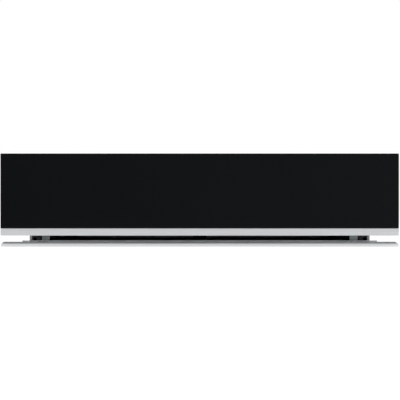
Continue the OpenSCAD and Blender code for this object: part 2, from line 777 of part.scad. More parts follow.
// ---------- runners ----------
// A channel with its web at high u, drawn in (u, v)
module channel_2d(u0, u1, hv, t) difference() {
  translate([u0, -hv]) square([u1 - u0, 2 * hv]);
  translate([u0 - cut, t - hv]) square([u1 - u0 - t + cut, 2 * (hv - t)]);
}

module at_runner(side, y0, y1) on_side(side) translate([tray_hw, 0, runner_z]) along_y(y0, y1) children();

module runner_fixed(side) color("silver") difference() {
  at_runner(side, runner_y, runner_y + runner_len) {
    channel_2d(fixed_lip_u, runner_t, fixed_v, rail_t);
    for (s = sides) translate([fixed_lip_u, s * (fixed_v - fixed_lip_h / 2) - fixed_lip_h / 2])
      square([rail_t, fixed_lip_h]);
  }
  on_side(side) for (y = fixed_rivet_ys) translate([runner_hw, y, runner_z]) rotate([0, -90, 0]) {
    translate([0, 0, -cut]) cylinder(r = rivet_hole_r, h = rail_t + 2 * cut);
    cylinder(r1 = rivet_hole_r, r2 = rivet_hole_r + rail_t, h = rail_t);
  }
}

module runner_middle(side) color("silver")
  at_runner(side, runner_y, runner_y + runner_len) channel_2d(middle_lip_u, middle_u, middle_v, rail_t);

module runner_inner(side) color("silver") difference() {
  union() {
    at_runner(side, panel_y, panel_y + runner_len) translate([inner_u, 0]) mirror([1, 0])
      channel_2d(0, inner_u, inner_v, rail_t);
    on_side(side) block([tray_hw, panel_y, tab_z], [runner_hw - tab_edge, panel_y + tab_t, tab_top_z]);
  }
  on_side(side) {
    for (y = tray_rivet_ys) x_rod(rivet_hole_r, tray_hw - cut, tray_hw + rail_t + cut, y, runner_z);
    for (z = tab_screw_zs) y_rod(screw_hole_r, tab_screw_x, z, panel_y - cut, panel_y + tab_t + cut);
  }
}

tab_screw_x = tray_hw + (rail_t + inner_u + tab_edge) / 2;
tab_screw_zs = [panel_lift + strip_h / 2, strip_top_z + sheet_t + screw_edge];

// A cage with two rows of balls, its web at u
module ball_cage(side, u, v) color("gray") {
  difference() {
    at_runner(side, cage_y, cage_y + cage_len) channel_2d(cage_lip_u, u, v + cage_t / 2, cage_t);
    cage_balls(side, v, ball_d / 2 + pivot_clear, ball_d);
  }
  cage_balls(side, v, ball_d / 2, 0);
}

// The balls of a cage, or with a height their holes through its flanges
module cage_balls(side, v, r, h) on_side(side) for (i = [0:ball_count - 1], s = sides)
  translate([tray_hw + ball_u, cage_y + (i + 0.5) * ball_pitch, runner_z + s * v]) {
    if (h == 0) sphere(r = r);
    if (h > 0) translate([0, 0, -h / 2]) cylinder(r = r, h = h);
  }

ball_u = (cage_lip_u + inner_cage_u) / 2;

module runner_bracket(side) color("silver") difference() {
  at_runner(side, bracket_y, bracket_back_y) translate([runner_t, 0]) {
    translate([0, -bracket_hh]) square([bracket_t, 2 * bracket_hh]);
    for (s = sides) {
      translate([0, s * (bracket_hh - bracket_t / 2) - bracket_t / 2]) square([bracket_w, bracket_t]);
      translate([bracket_w - bracket_t, s * (bracket_hh + bracket_lip / 2) - bracket_lip / 2])
        square([bracket_t, bracket_lip]);
    }
  }
  on_side(side) for (y = fixed_rivet_ys)
    x_rod(rivet_hole_r, runner_hw - cut, runner_hw + bracket_t + cut, y, runner_z);
}

module runner_rivets() color("silver") for (s = sides) on_side(s) for (y = fixed_rivet_ys) {
  x_rod(rivet_r, runner_hw - rail_t, runner_hw + bracket_t + rivet_head_h / 2, y, runner_z);
  x_rod(rivet_head_r, runner_hw + bracket_t, runner_hw + bracket_t + rivet_head_h, y, runner_z);
  translate([runner_hw - rail_t, y, runner_z]) rotate([0, 90, 0])
    cylinder(r1 = rivet_r + rail_t, r2 = rivet_r, h = rail_t);
}

// ---------- front ----------
module front_glass() color("black") intersection() {
  along_x(-front_hw, front_hw) polygon([[front_y + glass_chamfer, strip_top_z], [glass_back_y, strip_top_z],
    [glass_back_y, overall_h], [front_y + glass_chamfer, overall_h], [front_y, overall_h - glass_chamfer],
    [front_y, strip_top_z + glass_chamfer]]);
  translate([0, 0, strip_top_z]) linear_extrude(overall_h - strip_top_z)
    polygon([[-front_hw, glass_back_y], [-front_hw, front_y + glass_chamfer],
      [glass_chamfer - front_hw, front_y], [front_hw - glass_chamfer, front_y],
      [front_hw, front_y + glass_chamfer], [front_hw, glass_back_y]]);
}

module front_strip() color("gainsboro") difference() {
  block([-front_hw, front_y, panel_lift], [front_hw, panel_y, strip_top_z]);
  block([sheet_t - front_hw, front_y + sheet_t, panel_lift + sheet_t],
    [front_hw - sheet_t, panel_y - sheet_t, strip_top_z + cut]);
  tab_screw_holes();
}

module tab_screw_holes() for (s = sides, z = tab_screw_zs) on_side(s)
  y_rod(screw_hole_r, tab_screw_x, z, panel_y - 2 * bracket_t, panel_y + cut);

carrier_hw = front_hw - carrier_inset;
carrier_top_z = overall_h - carrier_inset;

module front_carrier() color("dimgray") difference() {
  block([-carrier_hw, glass_back_y, strip_top_z], [carrier_hw, panel_y, carrier_top_z]);
  block([sheet_t - carrier_hw, glass_back_y + sheet_t, strip_top_z + sheet_t],
    [carrier_hw - sheet_t, panel_y - sheet_t, carrier_top_z - sheet_t]);
  block([carrier_side_lip - carrier_hw, panel_y - 2 * sheet_t, strip_top_z + sheet_t],
    [carrier_hw - carrier_side_lip, panel_y + cut, carrier_top_z - carrier_top_lip]);
}

front_bracket_h = 32;
front_bracket_z = strip_top_z + front_bracket_h;
front_bracket_hw = 10;
front_bracket_x = (tray_hw + runner_hw) / 2;
pad_gap = 0.5;

module front_bracket(side) color("silver") difference() {
  on_side(side) difference() {
    block([front_bracket_x - front_bracket_hw, glass_back_y + sheet_t, strip_top_z + sheet_t],
      [front_bracket_x + front_bracket_hw, panel_y, front_bracket_z]);
    block([front_bracket_x - front_bracket_hw + bracket_t, glass_back_y, strip_top_z],
      [front_bracket_x + front_bracket_hw - bracket_t, panel_y - bracket_t, front_bracket_z + cut]);
  }
  tab_screw_holes();
}

module front_insulation() color("khaki")
  block([front_bracket_hw - front_bracket_x + pad_gap, glass_back_y + sheet_t, strip_top_z + sheet_t],
    [front_bracket_x - front_bracket_hw - pad_gap, panel_y, rim_z]);

module drawer_inner_front() color("silver")
  block([-tray_hw, panel_y, tray_z], [tray_hw, panel_y + tray_t, rim_z]);

// ---------- drawer ----------
rim_fold = 7;

module drawer_tray() color("silver") difference() {
  union() {
    block([-tray_hw, panel_y + tray_t, tray_z], [tray_hw, tray_back_y, floor_z]);
    for (s = sides) on_side(s) {
      block([tray_hw - tray_t, panel_y + tray_t, tray_z], [tray_hw, tray_back_y, rim_z]);
      block([tray_hw - rim_fold, panel_y + tray_t, rim_z - tray_t], [tray_hw, tray_back_y, rim_z]);
    }
  }
  for (s = sides, y = tray_rivet_ys) on_side(s)
    x_rod(rivet_hole_r, tray_hw - 2 * tray_t, tray_hw + cut, y, runner_z);
  for (s = sides) translate([s * striker_hw / 2, striker_foot_y, tray_z - cut])
    cylinder(r = rivet_hole_r, h = tray_t + 2 * cut);
}

module drawer_rear_wall() color("silver") difference() {
  block([tray_t - tray_hw, tray_back_y - tray_t, floor_z], [tray_hw - tray_t, tray_back_y, rim_z - tray_t]);
  air_slots(tray_back_y - 2 * tray_t, tray_back_y + cut);
}

mat_gap = 3;

module anti_slip_mat() color("dimgray")
  block([mat_gap + tray_t - tray_hw, panel_y + tray_t + mat_gap, floor_z],
    [tray_hw - tray_t - mat_gap, tray_back_y - tray_t - mat_gap, floor_z + mat_t]);

striker_foot = 12;
striker_foot_y = striker_y - striker_foot / 2;

module latch_striker() color("silver") difference() {
  union() {
    block([-striker_hw, striker_y, striker_z], [striker_hw, striker_y + striker_t, tray_z]);
    block([-striker_hw, striker_y - striker_foot, tray_z - striker_t],
      [striker_hw, striker_y + striker_t, tray_z]);
  }
  for (s = sides) translate([s * striker_hw / 2, striker_foot_y, tray_z - striker_t - cut])
    cylinder(r = rivet_hole_r, h = striker_t + 2 * cut);
}

module drawer_screws() color("silver") {
  for (s = sides, y = tray_rivet_ys) on_side(s) {
    x_rod(rivet_head_r, tray_hw - tray_t - rivet_head_h, tray_hw - tray_t, y, runner_z);
    x_rod(rivet_r, tray_hw - tray_t - rivet_head_h / 2, tray_hw + rail_t + rivet_head_h / 2, y, runner_z);
    x_rod(rivet_head_r, tray_hw + rail_t, tray_hw + rail_t + rivet_head_h, y, runner_z);
  }
  for (s = sides, z = tab_screw_zs) on_side(s)
    translate([tab_screw_x, panel_y + tab_t, z]) rotate([-90, 0, 0]) tab_screw();
  for (s = sides) translate([s * striker_hw / 2, striker_foot_y, tray_z - striker_t]) {
    translate([0, 0, -rivet_head_h]) cylinder(r = rivet_head_r, h = rivet_head_h);
    translate([0, 0, -rivet_head_h / 2]) cylinder(r = rivet_r, h = striker_t + tray_t + rivet_head_h / 2);
  }
}

module tab_screw() {
  cylinder(r = (inner_u - rail_t) / 2 - tab_edge, h = tab_t);
  translate([0, 0, -2 * tab_t - sheet_t]) cylinder(r = screw_r, h = 2 * tab_t + sheet_t + tab_edge);
}

// ---------- latch ----------
module latch_housing() color("dimgray") difference() {
  block([-latch_hw, latch_y, sheet_t], [latch_hw, latch_back_y, latch_top_z]);
  y_rod(plunger_r + pivot_clear, 0, latch_z, latch_y - cut, bore_back_y);
}

module latch_plunger() color("whitesmoke") {
  y_rod(plunger_r, 0, latch_z, plunger_y, plunger_y + plunger_head);
  y_rod(stem_r, 0, latch_z, plunger_y + plunger_head / 2, plunger_y + plunger_head + stem_len);
}

spring_mean_r = (plunger_r + stem_r) / 2;
spring_rise = spring_len - 2 * spring_wire_r;
spring_per_turn = 10;                    // rings of the wire in one turn
spring_steps = spring_turns * spring_per_turn;
wire_sides = 6;

// Point j of ring i: the wire's own circle, stood on the helix
function wire_point(i, j) = let (a = 360 * i / spring_per_turn, b = 360 * j / wire_sides,
    r = spring_mean_r + spring_wire_r * cos(b))
  [r * cos(a), r * sin(a), spring_wire_r * (1 + sin(b)) + spring_rise * i / spring_steps];

// A round wire swept along a helix, closed at both ends
module wire_helix() polyhedron(
  points = [for (i = [0:spring_steps], j = [0:wire_sides - 1]) wire_point(i, j)],
  faces = [
    for (i = [0:spring_steps - 1], j = [0:wire_sides - 1])
      let (a = i * wire_sides, b = a + wire_sides, k = (j + 1) % wire_sides)
        each [[a + j, b + k, b + j], [a + j, a + k, b + k]],
    for (j = [1:wire_sides - 2]) [0, j + 1, j],
    for (j = [1:wire_sides - 2]) let (last = spring_steps * wire_sides) [last, last + j, last + j + 1]
  ]);

module latch_spring() color("silver") translate([0, spring_y, latch_z]) rotate([-90, 0, 0]) wire_helix();

base_pan();
trim_plate();
side_panel(-1);  // side_panel_left
side_panel(1);  // side_panel_right
top_cover();
rear_panel();
front_frame();
cavity_ceiling();
top_insulation();
side_insulation();
front_buffer();
air_guide();
fan_baffle();
ring_heater();
motor_stator();
motor_coil();
motor_brackets();
motor_bearings();
overheat_cutout();
temperature_control();
switch_body();
pilot_lamp();
terminal_block();
cable_gland();
wiring_harness();
runner_fixed(-1);  // runner_fixed_left
runner_fixed(1);  // runner_fixed_right
runner_bracket(-1);  // runner_bracket_left
runner_bracket(1);  // runner_bracket_right
latch_housing();
housing_screws();
runner_rivets();
motor_screws();
front_glass();
front_strip();
front_carrier();
front_insulation();
front_bracket(-1);  // front_bracket_left
front_bracket(1);  // front_bracket_right
drawer_inner_front();
drawer_tray();
drawer_rear_wall();
anti_slip_mat();
latch_striker();
runner_inner(-1);  // runner_inner_left
runner_inner(1);  // runner_inner_right
drawer_screws();
runner_middle(-1);  // runner_middle_left
runner_middle(1);  // runner_middle_right
ball_cage(-1, outer_cage_u, outer_cage_v);  // cage_outer_left
ball_cage(1, outer_cage_u, outer_cage_v);  // cage_outer_right
ball_cage(-1, inner_cage_u, inner_cage_v);  // cage_inner_left
ball_cage(1, inner_cage_u, inner_cage_v);  // cage_inner_right
fan_wheel();
motor_shaft();
motor_rotor();
temperature_knob();
power_button();
latch_plunger();
latch_spring();
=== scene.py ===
"""Looks of a built-in warming drawer with a black glass front that opens at a push.

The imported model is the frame: every size and place is read from it, in metres, with X to the right, Y to
the back and Z up. Each sub-assembly is a class, each finish a frozen dataclass, and each new piece is a
surface worked out as whole arrays of points.
"""

import json
import logging
import math
from dataclasses import dataclass, field
from enum import Enum
from typing import Any

import bmesh
import bpy
import numpy as np
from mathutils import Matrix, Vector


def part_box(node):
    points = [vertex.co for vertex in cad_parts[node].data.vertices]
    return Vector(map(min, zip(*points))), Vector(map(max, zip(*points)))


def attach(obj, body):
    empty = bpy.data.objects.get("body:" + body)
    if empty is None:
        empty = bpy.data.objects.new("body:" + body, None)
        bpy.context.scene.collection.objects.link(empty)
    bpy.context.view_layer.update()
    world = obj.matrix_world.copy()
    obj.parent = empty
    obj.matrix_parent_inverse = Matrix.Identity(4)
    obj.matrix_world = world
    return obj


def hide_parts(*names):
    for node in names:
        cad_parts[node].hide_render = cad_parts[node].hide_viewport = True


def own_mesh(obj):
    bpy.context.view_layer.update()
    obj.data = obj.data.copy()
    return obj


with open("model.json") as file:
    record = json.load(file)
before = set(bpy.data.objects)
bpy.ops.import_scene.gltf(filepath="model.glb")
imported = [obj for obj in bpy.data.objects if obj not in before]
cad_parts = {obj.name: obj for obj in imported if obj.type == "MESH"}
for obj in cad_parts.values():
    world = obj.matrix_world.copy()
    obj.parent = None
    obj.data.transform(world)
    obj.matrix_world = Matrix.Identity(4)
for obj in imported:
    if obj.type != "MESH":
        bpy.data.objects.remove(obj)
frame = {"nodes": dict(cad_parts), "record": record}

Array = np.ndarray
LOG = logging.getLogger("warming_drawer")
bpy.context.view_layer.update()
MM = 0.001
SHARP_ANGLE = math.radians(32)
FLAT_ANGLE = math.radians(0.5)
FLAT_WEIGHT = 90
MERGE = 1e-6
UPRIGHT = 0.9        # a unit vector with more of Z than this counts as upright
FLAT_RING = 1.5      # inset of the flat ring on a slab's face, in radii of its edge
CRISP = (0.35, 0.65)     # the values of a noise that a crisp change of colour runs between
SOFT = (0.3, 0.7)        # the same for a softer change
WAVE_RATE = 20       # radians a metre of Blender's wave pattern at a scale of 1
SIDES = (-1, 1)
FORWARD = np.array([0.0, -1.0, 0.0])
BODY_OF = {node: body for body, nodes in frame["record"]["behaviour"]["bodies"].items() for node in nodes}
SLOT_OF = {name: node.material_slots[0].material.name.split(".")[0]
           for name, node in frame["nodes"].items()}


class Axis(Enum):
    """The frame's axes, as unit vectors."""

    X = (1.0, 0.0, 0.0)
    Y = (0.0, 1.0, 0.0)
    Z = (0.0, 0.0, 1.0)

    @property
    def index(self) -> int:
        """0, 1 or 2."""
        return self.value.index(1.0)


# ---------- places, read from the frame ----------
@dataclass(frozen=True)
class Box:
    """The box of a CAD node at rest.

    Attributes:
        low: its lowest corner.
        high: its highest corner.
    """

    low: Array
    high: Array

    @classmethod
    def of(cls, node: str) -> "Box":
        """The box of the CAD node with that name."""
        low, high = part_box(node)
        return cls(np.array(low), np.array(high))

    @property
    def middle(self) -> Array:
        """The centre of the box."""
        return (self.low + self.high) / 2

    @property
    def size(self) -> Array:
        """The three sides of the box."""
        return self.high - self.low

    @property
    def axle(self) -> Array:
        """Where the line along Y through the box's centre crosses Y = 0."""
        return np.array([self.middle[0], 0, self.middle[2]])


# ---------- meshes ----------
def merged(mesh: bpy.types.Mesh) -> bmesh.types.BMesh:
    """A working copy of a mesh, with the points that coincide merged.

    Args:
        mesh: the mesh.

    Returns:
        The copy, which has to be freed.
    """
    shell = bmesh.new()
    shell.from_mesh(mesh)
    bmesh.ops.remove_doubles(shell, verts=shell.verts, dist=MERGE)
    return shell


def shaded(shell: bmesh.types.BMesh, mesh: bpy.types.Mesh) -> bpy.types.Mesh:
    """Writes a working copy to a mesh, frees it, and shades the mesh smooth across shallow angles.

    Args:
        shell: the working copy.
        mesh: the mesh that takes it.

    Returns:
        The mesh.
    """
    shell.to_mesh(mesh)
    shell.free()
    mesh.shade_smooth()
    mesh.set_sharp_from_angle(angle=SHARP_ANGLE)
    return mesh


def add_object(name: str, data: Any) -> bpy.types.Object:
    """Puts an object in the scene.

    Args:
        name: its name.
        data: its mesh, curve, light or camera.

    Returns:
        The object, at the origin.
    """
    made = bpy.data.objects.new(name, data)
    bpy.context.scene.collection.objects.link(made)
    return made


def solids(node: str) -> list[Box]:
    """The boxes of a CAD node's separate solids.

    Points are joined across shared edges until every group of them is complete.

    Args:
        node: the node's name.

    Returns:
        One box for each solid, in the order of their centres, to a hundredth of a millimetre.
    """
    shell = merged(frame["nodes"][node].data)
    left = set(shell.verts)
    boxes = []
    while left:
        front = {next(iter(left))}
        reached: set[bmesh.types.BMVert] = set()
        while front:
            reached |= front
            front = {e.other_vert(v) for v in front for e in v.link_edges} - reached
        left -= reached
        points = np.array([v.co for v in reached])
        boxes.append(Box(points.min(axis=0), points.max(axis=0)))
    shell.free()
    return sorted(boxes, key=lambda box: tuple(box.middle.round(5)))


# ---------- shapes as arrays of points ----------
def filleted(corners: Any, radius: Any, steps: int = 5) -> Array:
    """An open line in a plane with its inner corners rounded.

    Each corner gives way to an arc that touches both its sides: the arc's centre lies on the corner's
    bisector at radius / sin(half angle), and its ends lie radius / tan(half angle) from the corner.

    Args:
        corners: the line's corners, one (u, v) each.
        radius: radius of every arc, or one for each inner corner.
        steps: points on each arc.

    Returns:
        The rounded line's points, one (u, v) each.
    """
    line = np.asarray(corners, float)
    radius = np.broadcast_to(np.asarray(radius, float), len(line) - 2)[:, None]
    back = line[:-2] - line[1:-1]
    ahead = line[2:] - line[1:-1]
    back /= np.linalg.norm(back, axis=1, keepdims=True)
    ahead /= np.linalg.norm(ahead, axis=1, keepdims=True)
    half = 0.5 * np.arccos(np.clip((back * ahead).sum(axis=1, keepdims=True), -1, 1))
    bisector = back + ahead
    bisector /= np.linalg.norm(bisector, axis=1, keepdims=True)
    centre = line[1:-1] + bisector * radius / np.sin(half)
    reach = radius / np.tan(half)
    first = line[1:-1] + back * reach - centre
    last = line[1:-1] + ahead * reach - centre
    cross = first[:, 0] * last[:, 1] - first[:, 1] * last[:, 0]
    turn = np.arctan2(cross, (first * last).sum(axis=1))
    angle = np.arctan2(first[:, 1], first[:, 0])[:, None] + turn[:, None] * np.linspace(0, 1, steps)
    arcs = centre[:, None] + radius[:, None] * np.stack([np.cos(angle), np.sin(angle)], axis=-1)
    return np.concatenate([line[:1], arcs.reshape(-1, 2), line[-1:]])


def thickened(line: Array, thickness: float) -> Array:
    """The section of a sheet: its middle line, pushed out square to itself by half the thickness each way.

    Args:
        line: (n, 2) points of the middle line.
        thickness: thickness of the sheet.

    Returns:
        The section's closed outline, one (u, v) each.
    """
    along = np.gradient(line, axis=0)
    along /= np.linalg.norm(along, axis=1, keepdims=True)
    normal = np.stack([-along[:, 1], along[:, 0]], axis=1) * thickness / 2
    return np.concatenate([line + normal, (line - normal)[::-1]])


def folded(corners: Any, thickness: float, bend: Any, steps: int = 5) -> Array:
    """The section of a folded sheet, whose middle line is rounded at every fold.

    Args:
        corners: corners of the middle line, one (u, v) each.
        thickness: thickness of the sheet.
        bend: radius of the middle line at every fold, or one for each.
        steps: points on each fold.

    Returns:
        The section's closed outline, one (u, v) each.
    """
    return thickened(filleted(corners, bend, steps), thickness)


def rounded_rectangle(half_u: float, half_v: float, radius: float, steps: int = 4) -> Array:
    """A rectangle about the origin whose corners are quarter circles: corner centre + radius (cos, sin).

    Args:
        half_u: half its width.
        half_v: half its height.
        radius: radius of its corners.
        steps: points on each corner.

    Returns:
        The closed outline, one (u, v) each.
    """
    angle = np.linspace(0, math.pi / 2, steps) + np.arange(4)[:, None] * math.pi / 2
    sign = np.array([[1, 1], [-1, 1], [-1, -1], [1, -1]])
    centre = sign * (np.array([half_u, half_v]) - radius)
    points = centre[:, None] + radius * np.stack([np.cos(angle), np.sin(angle)], axis=-1)
    return points.reshape(-1, 2)


def placed(outline: Array, along: Array, axis: Axis) -> Array:
    """Rings of a flat outline, stood across an axis.

    Args:
        outline: (rings, n, 2) or (n, 2) points in the plane across the axis, in the order X, Y, Z.
        along: each ring's place on the axis.
        axis: the axis that the rings follow.

    Returns:
        (rings, n, 3) points.
    """
    flat = np.broadcast_to(outline, (len(along),) + outline.shape[-2:])
    depth = np.broadcast_to(np.asarray(along, float)[:, None, None], flat.shape[:2] + (1,))
    return np.insert(flat, axis.index, depth[..., 0], axis=2)


def eased_slab(box: Box, axis: Axis, corner: float, edge: float, steps: int = 4) -> Array:
    """A slab whose corners and edges are rounded.

    Its outline is a rounded rectangle. Towards either face the outline is drawn in by
    edge (1 - sin a) while it moves along the axis by edge (1 - cos a), a quarter circle. One more ring lies
    flat on each face, so that the face's shading stays flat up to its edge.

    Args:
        box: the slab's box.
        axis: the axis across its faces.
        corner: radius of the outline's corners, over FLAT_RING times edge.
        edge: radius of the edges round both faces.
        steps: points across each edge.

    Returns:
        Rings of points from one face to the other.
    """
    across = [i for i in range(3) if i != axis.index]
    half = box.size[across] / 2
    angle = np.linspace(0, math.pi / 2, steps)
    drawn = np.concatenate([[FLAT_RING * edge], edge * (1 - np.sin(angle))])
    moved = np.concatenate([[0], edge * (1 - np.cos(angle))])
    inset = np.concatenate([drawn, drawn[::-1]])
    depth = np.concatenate([box.low[axis.index] + moved, box.high[axis.index] - moved[::-1]])
    unit = rounded_rectangle(half[0], half[1], corner)
    core = unit - np.sign(unit) * np.maximum(np.abs(unit) - (half - corner), 0)
    rings = core + (unit - core) * (1 - inset / corner)[:, None, None]
    return placed(rings + box.middle[across], depth, axis)


def smooth(share: Array) -> Array:
    """An even start and stop between 0 and 1: s^2 (3 - 2 s)."""
    return share**2 * (3 - 2 * share)


def across_axes(out: Array) -> tuple[Array, Array]:
    """Two unit vectors square to out and to each other.

    Args:
        out: a unit vector.

    Returns:
        The two vectors.
    """
    helper = np.array(Axis.Z.value if abs(out[2]) < UPRIGHT else Axis.X.value)
    first = np.cross(helper, out)
    first /= np.linalg.norm(first)
    return first, np.cross(out, first)


def turned(seat: Array, out: Array, radius: Array, height: Array, steps: int = 32) -> Array:
    """A surface of revolution: seat + height * out + radius * (cos a, sin a) across out.

    Args:
        seat: a point on the axis.
        out: unit vector along the axis.
        radius: (rows,) radii, or (rows, steps) where they change round the axis.
        height: (rows,) or (rows, steps) places along the axis.
        steps: points round the axis.

    Returns:
        (rows, steps, 3) points.
    """
    angle = np.linspace(0, 2 * math.pi, steps, endpoint=False)
    first, second = across_axes(out)
    ring = np.cos(angle)[:, None] * first + np.sin(angle)[:, None] * second
    radius = np.broadcast_to(np.reshape(radius, (len(radius), -1)), (len(radius), steps))
    height = np.broadcast_to(np.reshape(height, (len(height), -1)), (len(height), steps))
    return seat + radius[..., None] * ring + height[..., None] * out


@dataclass
class Surface:
    """Gathers grids of points, and makes one mesh object of them.

    Attributes:
        points: the grids' points, flattened.
        faces: the faces' point numbers.
        kinds: each face's place in the piece's list of finishes.
        count: the points so far.
    """

    points: list[Array] = field(default_factory=list)
    faces: list[list[int]] = field(default_factory=list)
    kinds: list[int] = field(default_factory=list)
    count: int = 0

    def grid(self, points: Array, wrap: bool = True, caps: bool = True, kind: int = 0) -> "Surface":
        """Adds a grid of quads between neighbouring rows.

        Args:
            points: (rows, columns, 3) points.
            wrap: whether the last column joins the first.
            caps: whether the first and last rows are closed by a face.
            kind: the finish's place in the piece's list.

        Returns:
            This surface.
        """
        rows, columns = points.shape[:2]
        index = self.count + np.arange(rows * columns).reshape(rows, columns)
        rings = np.concatenate([index, index[:, :1]], axis=1) if wrap else index
        quads = np.stack([rings[:-1, :-1], rings[:-1, 1:], rings[1:, 1:], rings[1:, :-1]], axis=-1)
        faces = quads.reshape(-1, 4).tolist()
        if caps:
            faces += [index[0].tolist()[::-1], index[-1].tolist()]
        return self.take(points.reshape(-1, 3), faces, kind)

    def copies(self, template: Array, offsets: Array, kind: int = 0) -> "Surface":
        """Adds the same wrapped, capped grid at each offset.

        Args:
            template: (rows, columns, 3) points of one copy.
            offsets: (n, 3) places.
            kind: the finish's place in the piece's list.

        Returns:
            This surface.
        """
        single = Surface().grid(template)
        points = template.reshape(-1, 3)
        moved = (points[None] + np.asarray(offsets)[:, None]).reshape(-1, 3)
        faces = [[corner + self.count + copy * len(points) for corner in face]
                 for copy in range(len(offsets)) for face in single.faces]
        return self.take(moved, faces, kind)

    def outline(self, outline: Array, low: float, high: float, axis: Axis, kind: int = 0) -> "Surface":
        """Adds a flat outline carried along an axis from low to high, with both ends closed."""
        return self.grid(placed(outline, np.array([low, high]), axis), kind=kind)

    def take(self, points: Array, faces: list[list[int]], kind: int) -> "Surface":
        """Adds points and faces.

        Args:
            points: (n, 3) points.
            faces: the faces' point numbers, which go on from this surface's count.
            kind: the finish's place in the piece's list.

        Returns:
            This surface.
        """
        self.points.append(points)
        self.faces += faces
        self.kinds += [kind] * len(faces)
        self.count += len(points)
        return self

    def mesh(self, name: str) -> bpy.types.Object:
        """Makes the mesh object, merged, with its normals outwards and smooth across shallow angles.

        Args:
            name: the piece's name.

        Returns:
            The object, at the origin.
        """
        made = bpy.data.meshes.new(name)
        made.from_pydata(np.concatenate(self.points).tolist(), [], self.faces)
        made.polygons.foreach_set("material_index", self.kinds)
        shell = merged(made)
        bmesh.ops.recalc_face_normals(shell, faces=shell.faces)
        return add_object(name, shaded(shell, made))


# ---------- nodes and colours ----------
def linear(colour: str) -> tuple[float, float, float, float]:
    """Turns an sRGB hex colour to linear light, by the sRGB standard's own curve.

    Args:
        colour: six hex digits.

    Returns:
        Red, green, blue and an alpha of 1.
    """
    shares = [int(colour[i:i + 2], 16) / 255 for i in (0, 2, 4)]
    return tuple(c / 12.92 if c <= 0.04045 else ((c + 0.055) / 1.055) ** 2.4 for c in shares) + (1.0,)


def add_node(tree: bpy.types.NodeTree, kind: str, settings: dict[Any, Any] | None = None,
             links: dict[Any, Any] | None = None) -> bpy.types.Node:
    """Adds a node.

    Args:
        tree: the node tree.
        kind: the node's type.
        settings: properties by name, and input values by the input's name or number.
        links: output sockets by the name or number of the input that takes them.

    Returns:
        The node.
    """
    node = tree.nodes.new(kind)
    own = {k: v for k, v in (settings or {}).items() if isinstance(k, str) and hasattr(node, k)}
    for key, value in own.items():
        setattr(node, key, value)
    for key, value in (settings or {}).items():
        if key not in own:
            node.inputs[key].default_value = value
    for key, socket in (links or {}).items():
        tree.links.new(socket, node.inputs[key])
    return node


def per_metre(size_mm: float) -> float:
    """A pattern's scale for a feature of that size."""
    return 1 / (size_mm * MM)


# ---------- finishes ----------
@dataclass(frozen=True)
class Batch:
    """A material in the making.

    Attributes:
        tree: its node tree.
        shader: its shader node.
        place: the socket with the object's coordinates.
    """

    tree: bpy.types.NodeTree
    shader: bpy.types.Node
    place: Any


@dataclass(frozen=True)
class Finish:
    """One real finish, made a material once.

    Attributes:
        name: the material's plain name.
        slot: the record's material slot that it dresses.
        colour: its sRGB hex colour.
        shade: the sRGB hex colour that its pattern mixes in.
        roughness: its roughness.
        metallic: 1 for a metal and 0 for anything else.
        swing: how far the roughness rises with the pattern.
        depth_mm: real depth of its relief.
        strength: how much of that depth shows, from 0 to 1.
    """

    name: str
    slot: str
    colour: str
    shade: str
    roughness: float
    metallic: float = 0.0
    swing: float = 0.0
    depth_mm: float = 0.02
    strength: float = 1.0

    @property
    def material(self) -> bpy.types.Material:
        """The material, made on first use."""
        found = bpy.data.materials.get(self.name)
        return found or self._make()

    def _make(self) -> bpy.types.Material:
        """Builds the node tree: the shader, the place that patterns read, and the pattern.

        Returns:
            The material.
        """
        material = bpy.data.materials.new(self.name)
        material.use_nodes = True
        tree = material.node_tree
        shader = tree.nodes["Principled BSDF"]
        shader.inputs["Base Color"].default_value = linear(self.colour)
        shader.inputs["Roughness"].default_value = self.roughness
        shader.inputs["Metallic"].default_value = self.metallic
        self.pattern(Batch(tree, shader, add_node(tree, "ShaderNodeTexCoord").outputs["Object"]))
        material.diffuse_color = linear(self.colour)
        return material

    def pattern(self, batch: Batch) -> None:
        """Adds what changes over the surface.

        Args:
            batch: the material in the making.
        """
        raise NotImplementedError

    def tint(self, batch: Batch, share: Any, spread: tuple[float, float] = (0.0, 1.0)) -> None:
        """Mixes colour and shade by a pattern, which swings the roughness too where the finish says so.

        Args:
            batch: the material in the making.
            share: the pattern's socket.
            spread: the pattern's value that leaves the colour as it is, and the one that gives the shade.
        """
        low, high = spread
        amount = add_node(batch.tree, "ShaderNodeMapRange", {"From Min": low, "From Max": high},
                          {"Value": share})
        blend = add_node(batch.tree, "ShaderNodeMix",
                         {"data_type": "RGBA", 6: linear(self.colour), 7: linear(self.shade)},
                         {0: amount.outputs["Result"]})
        batch.tree.links.new(blend.outputs[2], batch.shader.inputs["Base Color"])
        if self.swing:
            rough = add_node(batch.tree, "ShaderNodeMapRange",
                             {"From Min": low, "From Max": high, "To Min": self.roughness - self.swing / 2,
                              "To Max": self.roughness + self.swing / 2}, {"Value": share})
            batch.tree.links.new(rough.outputs["Result"], batch.shader.inputs["Roughness"])

    def emboss(self, batch: Batch, height: Any) -> None:
        """Adds the finish's relief.

        Args:
            batch: the material in the making.
            height: the socket of a pattern between 0 and 1.
        """
        relief = add_node(batch.tree, "ShaderNodeBump",
                          {"Strength": self.strength, "Distance": self.depth_mm * MM}, {"Height": height})
        batch.tree.links.new(relief.outputs["Normal"], batch.shader.inputs["Normal"])


